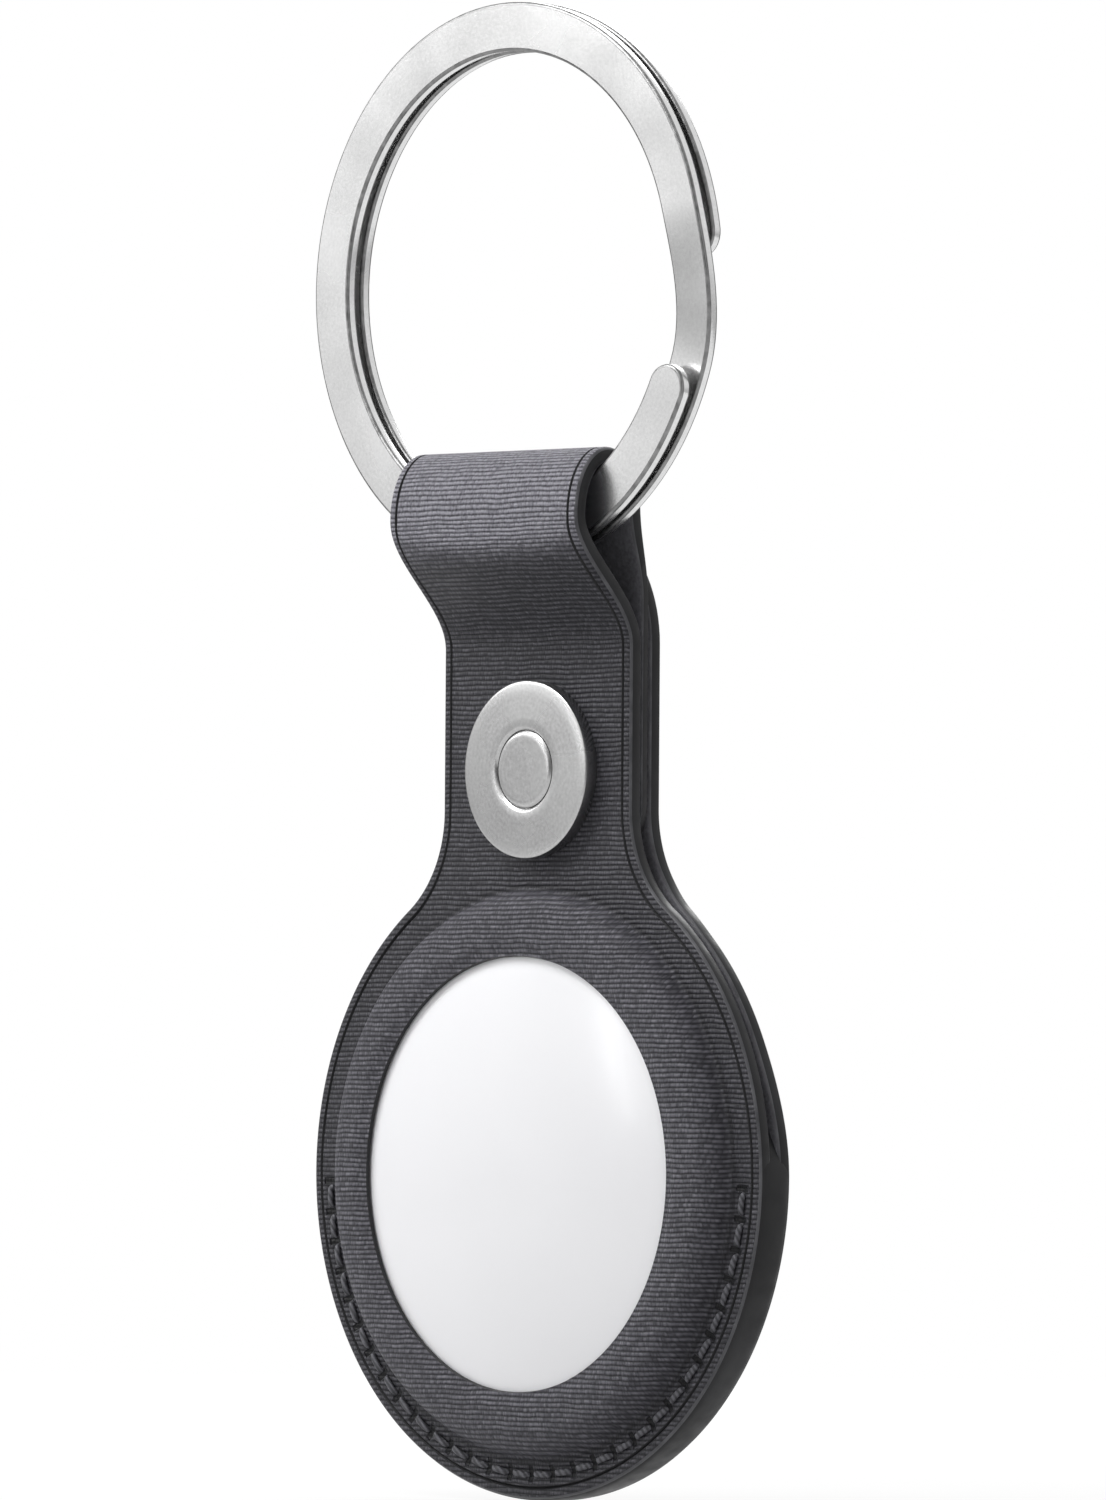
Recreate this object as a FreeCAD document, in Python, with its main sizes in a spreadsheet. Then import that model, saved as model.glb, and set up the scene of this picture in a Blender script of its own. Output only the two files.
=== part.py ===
# Key-ring holder for a round tracker tag.
# A woven strap forms a round front panel, a neck and a loop over a flat split ring. A second
# woven panel behind it opens as a flap, which a ring snap closes through the neck.
# Between the two panels lies the tag, a round case with its board, speaker and coin cell.
# Origin at the middle of the split ring, +Z up, front towards -Y, millimetres.
import FreeCAD, Part
import math
import os
import re
import Sketcher
from FreeCAD import Placement, Rotation, Vector

SIZES = {
    # split ring, wound from flat wire; angles run from +X towards +Z
    "ring_inner_radius": 14.7,
    "ring_wire_width": 3.1,
    "ring_wire_thick": 0.8,
    "ring_turn_gap": 0.42,
    "ring_edge_bevel": 0.16,
    "ring_front_end_angle": -26.0,
    "ring_back_end_angle": 9.5,
    "ring_jog_from_angle": 5.0,
    "ring_jog_to_angle": -20.0,
    # woven strap and its lining
    "strap_width": 17.2,
    "outer_thick": 0.6,
    "lining_thick": 0.4,
    "neck_face_depth": 2.0,
    "neck_fillet": 7.7,
    "flap_clear": 0.1,
    # loop over the ring
    "loop_depth": 3.8,
    "loop_ring_clear": 0.4,
    "loop_bend_lift": 1.5,
    "loop_back_run": 0.6,
    "loop_slope_angle": 55.0,
    "loop_slope_radius": 2.4,
    "tail_slope_angle": 10.0,
    "tail_slope_radius": 6.0,
    "bend_ring_clear": 0.4,
    "tail_toe_gap": 1.06,
    "tail_corner": 4.0,
    # round panels with their raised domes
    "window_lip": 2.15,
    "crown_width": 2.2,
    "crown_drop": 0.25,
    "shoulder_width": 1.75,
    "toe_width": 0.45,
    "toe_rise": 0.4,
    "flange_width": 2.3,
    "dome_turn": 68.0,
    "lining_setback": 1.4,
    "tongue_drop": 0.05,
    # stitches through the lower half of the rim
    "stitch_from_edge": 1.55,
    "stitch_end_angle": 2.0,
    "stitch_count": 30,
    "stitch_share": 0.8,
    "thread_width": 0.5,
    "thread_height": 0.25,
    "thread_leg_radius": 0.18,
    "thread_clear": 0.04,
    # ring snap in the neck
    "snap_toe_gap": 1.74,
    "neck_above_snap": 2.27,
    "button_radius": 5.62,
    "cap_height": 1.1,
    "cap_edge": 0.35,
    "cap_seat_depth": 0.5,
    "plug_radius": 2.44,
    "plug_gap": 0.06,
    "plug_stem": 0.35,
    "socket_inner_radius": 2.35,
    "socket_wall": 0.95,
    "socket_flange": 1.3,
    "socket_flange_thick": 0.28,
    "socket_mouth": 0.7,
    "socket_lip": 0.2,
    "spring_wire": 0.22,
    "spring_inner": 1.95,
    "spring_height": 0.35,
    "spring_open_angle": 40.0,
    "stud_neck": 1.6,
    "stud_head": 2.05,
    "stud_base": 2.7,
    "stud_base_thick": 0.28,
    "stud_head_height": 0.62,
    "stud_head_chamfer": 0.18,
    "post_radius": 1.0,
    "post_clear": 0.03,
    "fit_clear": 0.05,
    "flap_fit_clear": 0.3,
    "back_cap_height": 0.9,
    # tag case
    "tag_radius": 15.95,
    "tag_thick": 8.0,
    "tag_crown": 1.4,
    "tag_clear": 0.15,
    "tag_side_clear": 0.3,
    "tag_band": 0.8,
    "tag_shoulder_turn": 68.0,
    "tag_back_turn": 62.0,
    "shell_wall": 0.9,
    "lip_inset": 1.2,
    "lip_thick": 0.6,
    # battery cover with its bayonet tabs
    "cover_inset": 3.2,
    "cover_clear": 0.2,
    "cover_wall": 0.3,
    "cover_crown": 0.35,
    "cover_edge": 1.0,
    "cover_edge_turn": 40.0,
    "tab_reach": 0.95,
    "tab_half_width": 2.2,
    "tab_thick": 0.4,
    "tab_clear": 0.15,
    "tab_count": 3,
    "cover_twist_angle": 30.0,
    # inside the tag
    "cell_inset": 2.75,
    "cell_room_share": 0.6535,
    "cell_gap": 0.1,
    "cell_side_clear": 0.2,
    "cell_step": 1.1,
    "cell_step_height": 0.35,
    "contact_thick": 0.1,
    "contact_long": 4.0,
    "contact_wide": 1.6,
    "contact_share": 0.55,
    "contact_count": 3,
    "frame_floor": 0.5,
    "frame_wall": 1.0,
    "frame_wall_gap": 0.6,
    "frame_side_clear": 0.25,
    "seal_clear": 0.05,
    "seal_inset": 0.8,
    "board_thick": 0.6,
    "board_inset": 0.8,
    "board_speaker_clear": 0.5,
    "yoke_radius": 4.9,
    "yoke_floor": 0.4,
    "magnet_radius": 3.6,
    "magnet_height": 1.3,
    "coil_clear": 0.3,
    "coil_wall": 0.5,
    "coil_height": 1.5,
    "coil_drop": 0.1,
    "chip_room_share": 0.8,
    "chip_reach": 2.7,
    "radio_long": 3.0,
    "radio_tall": 3.0,
    "processor_long": 4.0,
    "processor_tall": 3.4,
    "memory_long": 2.4,
    "memory_tall": 2.4,
    "clock_long": 1.6,
    "clock_tall": 3.2,
    "driver_long": 3.2,
    "driver_tall": 1.8,
}

# Where each chip sits round the board, in degrees from +X towards +Z.
CHIP_ANGLES = {"radio": 40, "processor": 95, "memory": 165, "clock": 230, "driver": 300}
FULL_TURN = 360
# Sections lofted along the ring's jog, and places where the gap between its turns is measured.
JOG_STATIONS = 8
GAP_STATIONS = 400

# Lengths that follow from the driving sizes. Heights in the tag's and panels' frames run
# forwards from the plane halfway between the two panels.
WALL = "(outer_thick + lining_thick)"
WELT = "(outer_thick + flap_clear)"
FACE = f"({WELT} / 2 + {WALL})"
MIDDLE = f"(neck_face_depth + {FACE})"
HALF_WIDTH = "(strap_width / 2)"
WINDOW = "(tag_radius - window_lip)"
SHOULDER = f"({WINDOW} + crown_width)"
DOME_WALL = f"({SHOULDER} + shoulder_width)"
TOE = f"({DOME_WALL} + toe_width)"
DISC = f"({TOE} + flange_width)"
HALF_TAG = "(tag_thick / 2)"
WINDOW_FACE = f"({HALF_TAG} - tag_crown + tag_clear + outer_thick)"
STITCH_LINE = f"({DISC} - stitch_from_edge)"
STITCH_STEP = "((180 - 2 * stitch_end_angle) / stitch_count)"
STITCH_SPAN = f"(180 - 2 * stitch_end_angle - {STITCH_STEP})"
FIRST_LEG = f"((stitch_end_angle + {STITCH_STEP} / 2) * 1deg)"
RING_OUTER = "(ring_inner_radius + ring_wire_width)"
LOOP_TOP = f"(-sqrt(ring_inner_radius ^ 2 - {HALF_WIDTH} ^ 2) + loop_ring_clear)"
SLOPE_ARCS = f"((2 * loop_slope_radius + {WALL}) * (1 - cos(loop_slope_angle * 1deg)))"
SLOPE_SHIFT = f"(neck_face_depth + loop_depth / 2 + {WALL})"
SLOPE_RUN = f"(({SLOPE_SHIFT} - {SLOPE_ARCS}) / sin(loop_slope_angle * 1deg))"
SLOPE_RISE = (
    f"((2 * loop_slope_radius + {WALL}) * sin(loop_slope_angle * 1deg)"
    f" + {SLOPE_RUN} * cos(loop_slope_angle * 1deg))"
)
FRONT_RUN = f"({LOOP_TOP} - loop_depth / 2 + {RING_OUTER} - loop_bend_lift)"
NECK_TOP = f"(loop_bend_lift - {RING_OUTER} - {SLOPE_RISE})"
SNAP_HEIGHT = f"({TOE} + snap_toe_gap + button_radius)"
NECK_HEIGHT = f"({SNAP_HEIGHT} + button_radius + neck_above_snap)"
TONGUE_HEIGHT = f"({NECK_HEIGHT} - tongue_drop)"
RING_TO_DISC = f"({NECK_HEIGHT} - {NECK_TOP})"
SOCKET_RADIUS = "(socket_inner_radius + socket_wall)"
TAIL_BACK = f"({FACE} - {WALL} - outer_thick)"
LINING_BACK = f"(-{WELT} / 2)"
COVER = "(tag_radius - cover_inset)"
COVER_RIM = f"({HALF_TAG} - cover_crown)"
CELL = f"({COVER} - cell_inset)"
CELL_BACK = f"({COVER_RIM} - cover_wall)"
TAG_ROOM = f"({CELL_BACK} + {HALF_TAG} - tag_crown - shell_wall)"
FLOOR_BACK = f"({TAG_ROOM} * cell_room_share - {CELL_BACK})"
BOARD_BACK = f"({FLOOR_BACK} + frame_floor)"
BOARD_FRONT = f"({BOARD_BACK} + board_thick)"
FRAME_OUT = "(tag_radius - shell_wall - frame_side_clear)"
BOARD_OUT = f"({FRAME_OUT} - board_inset)"
BOARD_IN = "(yoke_radius + board_speaker_clear)"
CHIP_PLACE = f"(({BOARD_IN} + {BOARD_OUT}) / 2)"
LIP = f"({HALF_TAG} - lip_inset)"
TAB_FRONT = f"(lip_thick + tab_clear - {LIP})"

# local X, Y and Z of a piece that faces forwards and of one that faces backwards
FORWARDS = Rotation(Vector(1, 0, 0), Vector(0, 0, 1), Vector(0, -1, 0), "XYZ")
BACKWARDS = Rotation(Vector(-1, 0, 0), Vector(0, 0, 1), Vector(0, 1, 0), "XYZ")

doc = FreeCAD.newDocument("TagHolder")
sheet = doc.addObject("Spreadsheet::Sheet", "Sizes")
for row, (alias, size) in enumerate(SIZES.items(), start=1):
    sheet.set(f"A{row}", str(size))
    sheet.setAlias(f"A{row}", alias)
doc.recompute()

pieces = []


def bound(formula):
    """A formula over the sheet's names, as an expression of the document."""
    def cell(match):
        word = match.group()
        return f"Sizes.{word}" if word in SIZES else word
    return re.sub(r"[a-z_]+", cell, formula)


def value(formula):
    """The present value of a formula over the sheet's names."""
    result = sheet.evalExpression(bound(formula))
    return float(getattr(result, "Value", result))


def bind(thing, **formulas):
    """Set properties of an object, tied to the sheet."""
    for name, formula in formulas.items():
        thing.setExpression(name, bound(formula))


def seat(thing, rotation, y="0", z="0", x="0"):
    """Place an object, with its place tied to the sheet."""
    thing.Placement = Placement(Vector(value(x), value(y), value(z)), rotation)
    for axis, formula in (("x", x), ("y", y), ("z", z)):
        thing.setExpression(f"Placement.Base.{axis}", bound(formula))


def piece(thing, label):
    """Name an object as a piece of the holder."""
    thing.Label = label
    pieces.append(thing)
    return thing


def new_body(label, rotation, height=f"-{RING_TO_DISC}"):
    """A body on the middle plane between the panels, at a height in the holder."""
    body = doc.addObject("PartDesign::Body", label)
    seat(body, rotation, MIDDLE, height)
    return body


def origin_part(body, role):
    return next(part for part in body.Origin.OriginFeatures if part.Role == role)


def new_sketch(body, name, role, height):
    sketch = body.newObject("Sketcher::SketchObject", name)
    sketch.AttachmentSupport = [(origin_part(body, role), "")]
    sketch.MapMode = "FlatFace"
    sketch.setExpression("AttachmentOffset.Base.z", bound(height))
    return sketch


def pin(sketch, kind, geometry, end, formula):
    """Tie one coordinate of a sketch point to the sheet."""
    rule = Sketcher.Constraint(kind, -1, 1, geometry, end, value(formula))
    sketch.setExpression(f"Constraints[{sketch.addConstraint(rule)}]", bound(formula))


def tie_radius(sketch, geometry, formula):
    rule = Sketcher.Constraint("Radius", geometry, value(formula))
    sketch.setExpression(f"Constraints[{sketch.addConstraint(rule)}]", bound(formula))


def add_loop(sketch, corners):
    """A closed outline. A corner is (x, y), or (x, y, turn) where an arc leads on from it
    that turns left by so many degrees, or right where the turn is below zero."""
    count = len(corners)
    first = sketch.GeometryCount
    spots = [Vector(value(corner[0]), value(corner[1]), 0) for corner in corners]
    ends = []
    for index, corner in enumerate(corners):
        here = spots[index]
        there = spots[(index + 1) % count]
        if len(corner) == 2:
            sketch.addGeometry(Part.LineSegment(here, there), False)
            ends.append((1, 2))
            continue
        turn = value(corner[2])
        chord = there - here
        bulge = Vector(chord.y, -chord.x, 0) * (math.tan(math.radians(turn) / 4) / 2)
        middle = (here + there) * 0.5 + bulge
        left = turn > 0
        arc = Part.Arc(here, middle, there) if left else Part.Arc(there, middle, here)
        sketch.addGeometry(arc, False)
        ends.append((1, 2) if left else (2, 1))
    for index, corner in enumerate(corners):
        after = (index + 1) % count
        join = (first + index, ends[index][1], first + after, ends[after][0])
        sketch.addConstraint(Sketcher.Constraint("Coincident", *join))
        pin(sketch, "DistanceX", first + index, ends[index][0], corner[0])
        pin(sketch, "DistanceY", first + index, ends[index][0], corner[1])
        if len(corner) == 3:
            wide = f"(({corners[after][0]}) - ({corner[0]}))"
            tall = f"(({corners[after][1]}) - ({corner[1]}))"
            half_turn = f"(({corner[2]}) / 2 * 1deg)"
            radius = f"sqrt({wide} ^ 2 + {tall} ^ 2) / 2 / abs(sin({half_turn}))"
            tie_radius(sketch, first + index, radius)


def add_circle(sketch, radius, x="0", y="0"):
    centre = Vector(value(x), value(y), 0)
    index = sketch.addGeometry(Part.Circle(centre, Vector(0, 0, 1), value(radius)), False)
    pin(sketch, "DistanceX", index, 3, x)
    pin(sketch, "DistanceY", index, 3, y)
    tie_radius(sketch, index, radius)


def revolve(body, name, corners):
    """Turn an outline of (radius, height) corners round the body's own axis."""
    sketch = new_sketch(body, f"{name}_profile", "XZ_Plane", "0")
    add_loop(sketch, corners)
    feature = body.newObject("PartDesign::Revolution", name)
    feature.Profile = sketch
    feature.ReferenceAxis = (sketch, ["V_Axis"])
    feature.Angle = FULL_TURN
    return feature


def pad(body, name, bottom, height, corners=(), circles=()):
    """Raise an outline, with or without round holes, from a height in the body."""
    sketch = new_sketch(body, f"{name}_outline", "XY_Plane", bottom)
    if corners:
        add_loop(sketch, corners)
    for circle in circles:
        add_circle(sketch, *circle)
    feature = body.newObject("PartDesign::Pad", name)
    feature.Profile = sketch
    bind(feature, Length=height)
    return feature


def drill(body, name, radius, x="0", y="0"):
    """A round hole right through the body."""
    sketch = new_sketch(body, f"{name}_circle", "XY_Plane", "0")
    add_circle(sketch, radius, x, y)
    feature = body.newObject("PartDesign::Pocket", name)
    feature.Profile = sketch
    feature.Type = "ThroughAll"
    feature.SideType = "Symmetric"
    return feature


def repeat(body, name, features, count, angle):
    """Copies of features round the body's axis, over a whole angle."""
    pattern = body.newObject("PartDesign::PolarPattern", name)
    pattern.Originals = features
    pattern.Axis = (origin_part(body, "Z_Axis"), [""])
    bind(pattern, Occurrences=count, Angle=angle)
    body.Tip = pattern
    return pattern


def panel_outline(top, arched):
    """Round panel with its neck, which ends square or in an arch."""
    reach = f"({DISC} + neck_fillet)"
    side = f"({HALF_WIDTH} + neck_fillet)"
    rise = f"sqrt({reach} ^ 2 - {side} ^ 2)"
    touch_x = f"({side} * {DISC} / {reach})"
    touch_y = f"({rise} * {DISC} / {reach})"
    swing = f"(90 + asin({touch_y} / {DISC}) / 1deg)"
    blend = f"(acos({side} / {reach}) / 1deg)"
    corners = [
        (f"-{HALF_WIDTH}", top),
        (f"-{HALF_WIDTH}", rise, f"-{blend}"),
        (f"-{touch_x}", touch_y, swing),
        ("0", f"-{DISC}", swing),
        (touch_x, touch_y, f"-{blend}"),
        (HALF_WIDTH, rise),
    ]
    if arched:
        return corners + [(HALF_WIDTH, top, "90"), ("0", f"{top} + {HALF_WIDTH}", "90")]
    return corners + [(HALF_WIDTH, top)]


def dome_profile(upper, lower, setback):
    """Raised ring round the window, as the layer between two depths below the face."""
    start = f"({WINDOW} + {setback})"
    edge = f"({WINDOW_FACE} - crown_drop * {setback} / crown_width)"

    def shoulder(depth):
        return SHOULDER, f"{WINDOW_FACE} - crown_drop - {depth}"

    def wall(depth):
        return f"{DOME_WALL} - {depth}", f"{FACE} + toe_rise"

    def toe(depth):
        return TOE, f"{FACE} - {depth}"

    return [
        (start, f"{edge} - {upper}"),
        (*shoulder(upper), "-dome_turn"),
        (*wall(upper), "dome_turn"),
        toe(upper),
        (*toe(lower), "-dome_turn"),
        (*wall(lower), "dome_turn"),
        shoulder(lower),
        (start, f"{edge} - {lower}"),
    ]


def panel(name, rotation, upper, lower, setback, top, arched, snap_hole):
    """One layer of a panel: flat rim and neck, dome, snap hole and stitch holes."""
    body = new_body(name, rotation)
    bottom = f"{FACE} - {lower}"
    outline = panel_outline(top, arched)
    pad(body, f"{name}_rim", bottom, f"{lower} - {upper}", outline, [(TOE,)])
    revolve(body, f"{name}_dome", dome_profile(upper, lower, setback))
    drill(body, f"{name}_snap_hole", snap_hole, "0", SNAP_HEIGHT)
    stitch_holes(body, name)
    return body


def stitch_holes(body, name):
    left_x = f"-{STITCH_LINE} * cos({FIRST_LEG})"
    left_y = f"-{STITCH_LINE} * sin({FIRST_LEG})"
    hole = drill(body, f"{name}_stitch_hole", "thread_leg_radius + thread_clear", left_x, left_y)
    repeat(body, f"{name}_stitch_holes", [hole], "stitch_count", STITCH_SPAN)


def block(name, x, y, z, long, deep, tall):
    """A box tied to the sheet, from its least corner."""
    box = doc.addObject("Part::Box", name)
    bind(box, Length=long, Width=deep, Height=tall)
    seat(box, Rotation(), y, z, x)
    return box


def boolean(kind, label, base, tool):
    feature = doc.addObject(kind, label)
    feature.Base = base
    feature.Tool = tool
    return piece(feature, label)


def route(start, moves, depth):
    """Edges of a strap's face at a depth below its outer face, in the plane across X.
    A move is a straight run, or a turn and its radius at the outer face; left is outwards."""
    edges = []
    heading = math.pi / 2
    spot = start

    def shifted(point, angle, offset):
        return Vector(0, point.y + offset * math.sin(angle), point.z - offset * math.cos(angle))

    for move in moves:
        here = shifted(spot, heading, depth)
        if len(move) == 1:
            spot = spot + Vector(0, math.cos(heading), math.sin(heading)) * move[0]
            edges.append(Part.LineSegment(here, shifted(spot, heading, depth)).toShape())
            continue
        turn, radius = math.radians(move[0]), move[1]
        side = -radius if turn > 0 else radius
        hub = shifted(spot, heading, side)
        middle = shifted(hub, heading + turn / 2, -side + depth)
        spot = shifted(hub, heading + turn, -side)
        heading += turn
        edges.append(Part.Arc(here, middle, shifted(spot, heading, depth)).toShape())
    return edges


def strap_layer(name, moves, upper, lower):
    """A layer of the strap along its route over the ring, as wide as the strap."""
    start = Vector(0, value("neck_face_depth"), value(NECK_TOP))
    near = route(start, moves, value(upper))
    far = route(start, moves, value(lower))

    def cap(near_end, far_end):
        return Part.LineSegment(near_end, far_end).toShape()

    ends = [
        cap(near[0].firstVertex(True).Point, far[0].firstVertex(True).Point),
        cap(near[-1].lastVertex(True).Point, far[-1].lastVertex(True).Point),
    ]
    wire = Part.Wire(Part.__sortEdges__(near + far + ends))
    width = value("strap_width")
    layer = doc.addObject("Part::Feature", name)
    layer.Shape = Part.Face(wire).extrude(Vector(width, 0, 0))
    layer.Placement = Placement(Vector(-width / 2, 0, 0), Rotation())
    return layer


def make_split_ring():
    """Flat wire in two turns: front plane, a jog at the right side, then back plane."""
    half_width = value("ring_wire_width / 2")
    half_thick = value("ring_wire_thick / 2")
    bevel = value("ring_edge_bevel")
    middle = value("ring_inner_radius") + half_width
    plane = value("(ring_wire_thick + ring_turn_gap) / 2")
    front_end = value("ring_front_end_angle")
    back_end = value("ring_back_end_angle")
    jog_from = value("ring_jog_from_angle")
    jog_to = value("ring_jog_to_angle")
    section = [
        (-half_width, half_thick - bevel),
        (-half_width, bevel - half_thick),
        (bevel - half_width, -half_thick),
        (half_width - bevel, -half_thick),
        (half_width, bevel - half_thick),
        (half_width, half_thick - bevel),
        (half_width - bevel, half_thick),
        (bevel - half_width, half_thick),
    ]

    def wire_at(points, angle, depth):
        across = Vector(math.cos(math.radians(angle)), 0, math.sin(math.radians(angle)))
        corners = [across * (middle + out) + Vector(0, depth + deep, 0) for out, deep in points]
        return Part.makePolygon(corners + corners[:1])

    def turned(angle, depth, sweep):
        face = Part.Face(wire_at(section, angle, depth))
        return face.revolve(Vector(), Vector(0, -1, 0), sweep)

    def rounded_end(angle, depth, sweep):
        outer_half = [(0, -half_thick), *section[3:7], (0, half_thick)]
        hub = Vector(math.cos(math.radians(angle)), 0, math.sin(math.radians(angle))) * middle
        face = Part.Face(wire_at(outer_half, angle, depth))
        return face.revolve(hub, Vector(0, -1, 0), sweep)

    def depth_at(unwound):
        share = min(max((jog_from - FULL_TURN - unwound) / (jog_from - jog_to), 0), 1)
        return plane * (2 * share * share * (3 - 2 * share) - 1)

    def jog():
        stations = []
        for step in range(JOG_STATIONS + 1):
            angle = jog_from - FULL_TURN + (jog_to - jog_from) * step / JOG_STATIONS
            stations.append(wire_at(section, angle, depth_at(angle)))
        return Part.makeLoft(stations, True, False)

    front_sweep = jog_from - FULL_TURN - front_end
    back_sweep = back_end - FULL_TURN - jog_to
    solids = [
        turned(front_end, -plane, front_sweep),
        rounded_end(front_end, -plane, FULL_TURN / 2),
        jog(),
        turned(jog_to, plane, back_sweep),
        rounded_end(back_end, plane, -FULL_TURN / 2),
    ]
    ring = doc.addObject("Part::Feature", "split_ring")
    ring.Shape = solids[0].multiFuse(solids[1:]).removeSplitter()
    ring.Placement = Placement()
    piece(ring, "split_ring")
    tip = math.degrees(half_width / middle)
    overlap = front_end - back_end + 2 * tip + FULL_TURN
    spots = range(GAP_STATIONS + 1)
    stations = [front_end + tip - overlap * spot / GAP_STATIONS for spot in spots]
    steps = [depth_at(angle - FULL_TURN) - depth_at(angle) for angle in stations]
    gap = min(steps) - 2 * half_thick
    print(f"least gap between the ring's turns {gap:.3f} mm")


def make_strap_loop():
    """The strap over the ring, split where it bends below the ring."""
    slope = value("loop_slope_angle")
    lean = value("tail_slope_angle")
    wall = value(WALL)
    inner = value("loop_slope_radius")
    back_inner = value("tail_slope_radius")
    back_shift = value(f"{MIDDLE} - {TAIL_BACK} - loop_depth / 2 - {WALL}")
    back_arcs = (2 * back_inner + wall) * (1 - math.cos(math.radians(lean)))
    back_run = (back_shift - back_arcs) / math.sin(math.radians(lean))
    back_drop = (2 * back_inner + wall) * math.sin(math.radians(lean))
    back_drop += back_run * math.cos(math.radians(lean))
    over = [
        (slope, inner),
        (value(SLOPE_RUN),),
        (-slope, inner + wall),
        (value(FRONT_RUN),),
        (-180, value(f"loop_depth / 2 + {WALL}")),
        (value("loop_back_run"),),
    ]
    lean_back = [(lean, back_inner), (back_run,), (-lean, back_inner + wall)]
    last_run = value(f"{LOOP_TOP} - loop_depth / 2 - loop_back_run - {NECK_TOP}") - back_drop
    outer = strap_layer("strap_outer", over + lean_back + [(last_run,)], "0", "outer_thick")
    lining = strap_layer("strap_lining", over + lean_back[:1], "outer_thick", WALL)
    below = f"-{RING_OUTER} - bend_ring_clear - {NECK_TOP}"
    deep = f"{MIDDLE} + {FACE} + {SLOPE_SHIFT}"
    front = f"-{SLOPE_SHIFT}"
    for layer, name in ((outer, "outer"), (lining, "lining")):
        zone = block(
            f"bend_zone_{name}", "-strap_width", front, NECK_TOP, "2 * strap_width", deep, below
        )
        boolean("Part::Common", f"strap_bend_{name}", layer, zone)
        boolean("Part::Cut", f"strap_loop_{name}", layer, zone)


def make_front_panel():
    hole = f"{SOCKET_RADIUS} + fit_clear"
    outer = panel("front_panel", FORWARDS, "0", "outer_thick", "0", NECK_HEIGHT, False, hole)
    piece(outer, "front_panel")
    lining = panel(
        "front_lining", FORWARDS, "outer_thick", WALL, "lining_setback", NECK_HEIGHT, False, hole
    )
    piece(lining, "front_lining")


def make_back_panel():
    """Both layers behind the tag, each split at the fold where the flap opens."""
    outer = panel(
        "back_outer", BACKWARDS, "0", "outer_thick", "0", TONGUE_HEIGHT, True,
        "post_radius + post_clear",
    )
    recess = f"{SOCKET_RADIUS} + socket_flange + flap_fit_clear"
    lining = panel(
        "back_inner", BACKWARDS, "outer_thick", WALL, "lining_setback", TONGUE_HEIGHT, True,
        recess,
    )
    for layer, name in ((outer, "back_panel"), (lining, "back_lining")):
        half = block(
            f"{name}_half", f"-2 * {DISC}", "0", f"-{RING_TO_DISC} - 2 * {DISC}", f"4 * {DISC}",
            f"4 * {MIDDLE}", f"2 * {DISC}",
        )
        boolean("Part::Common", f"{name}_lower", layer, half)
        boolean("Part::Cut", f"{name}_flap", layer, half)


def make_rim_welt():
    """Spacer between the panels round the lower half of the rim."""
    body = piece(new_body("rim_welt", FORWARDS), "rim_welt")
    inner = "(tag_radius + tag_side_clear)"
    corners = [
        (f"-{DISC}", "0", "90"),
        ("0", f"-{DISC}", "90"),
        (DISC, "0"),
        (inner, "0", "-90"),
        ("0", f"-{inner}", "-90"),
        (f"-{inner}", "0"),
    ]
    pad(body, "welt_band", f"-{WELT} / 2", WELT, corners)
    stitch_holes(body, "rim_welt")


def make_strap_tail():
    """End of the strap, brought down behind the neck and held by the snap's socket."""
    body = piece(new_body("strap_tail", FORWARDS), "strap_tail")
    low = f"({TOE} + tail_toe_gap)"
    corner = "tail_corner"
    corners = [
        (f"-{HALF_WIDTH}", NECK_HEIGHT),
        (f"-{HALF_WIDTH}", f"{low} + {corner}", "90"),
        (f"-{HALF_WIDTH} + {corner}", low),
        (f"{HALF_WIDTH} - {corner}", low, "90"),
        (HALF_WIDTH, f"{low} + {corner}"),
        (HALF_WIDTH, NECK_HEIGHT),
    ]
    pad(body, "tail_strip", TAIL_BACK, "outer_thick", corners)
    drill(body, "tail_snap_hole", f"{SOCKET_RADIUS} + fit_clear", "0", SNAP_HEIGHT)


def make_stitching():
    """Stitches round the lower half of the rim, each with a leg through all the layers."""
    body = piece(new_body("stitching", FORWARDS), "stitching")
    inner = f"({STITCH_LINE} - thread_width / 2)"
    outer = f"({STITCH_LINE} + thread_width / 2)"
    from_angle = f"((180 + stitch_end_angle + {STITCH_STEP} * (1 - stitch_share) / 2) * 1deg)"
    turn = f"({STITCH_STEP} * stitch_share)"
    to_angle = f"({from_angle} + {turn} * 1deg)"
    bar = [
        (f"{outer} * cos({from_angle})", f"{outer} * sin({from_angle})", turn),
        (f"{outer} * cos({to_angle})", f"{outer} * sin({to_angle})"),
        (f"{inner} * cos({to_angle})", f"{inner} * sin({to_angle})", f"-{turn}"),
        (f"{inner} * cos({from_angle})", f"{inner} * sin({from_angle})"),
    ]
    left_x = f"-{STITCH_LINE} * cos({FIRST_LEG})"
    left_y = f"-{STITCH_LINE} * sin({FIRST_LEG})"
    front = pad(body, "front_thread", FACE, "thread_height", bar)
    leg = pad(body, "thread_leg", f"-{FACE}", f"2 * {FACE}", (), [("thread_leg_radius", left_x, left_y)])
    back = pad(body, "back_thread", f"-{FACE} - thread_height", "thread_height", bar)
    repeat(body, "stitches", [front, leg, back], "stitch_count", STITCH_SPAN)


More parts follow.
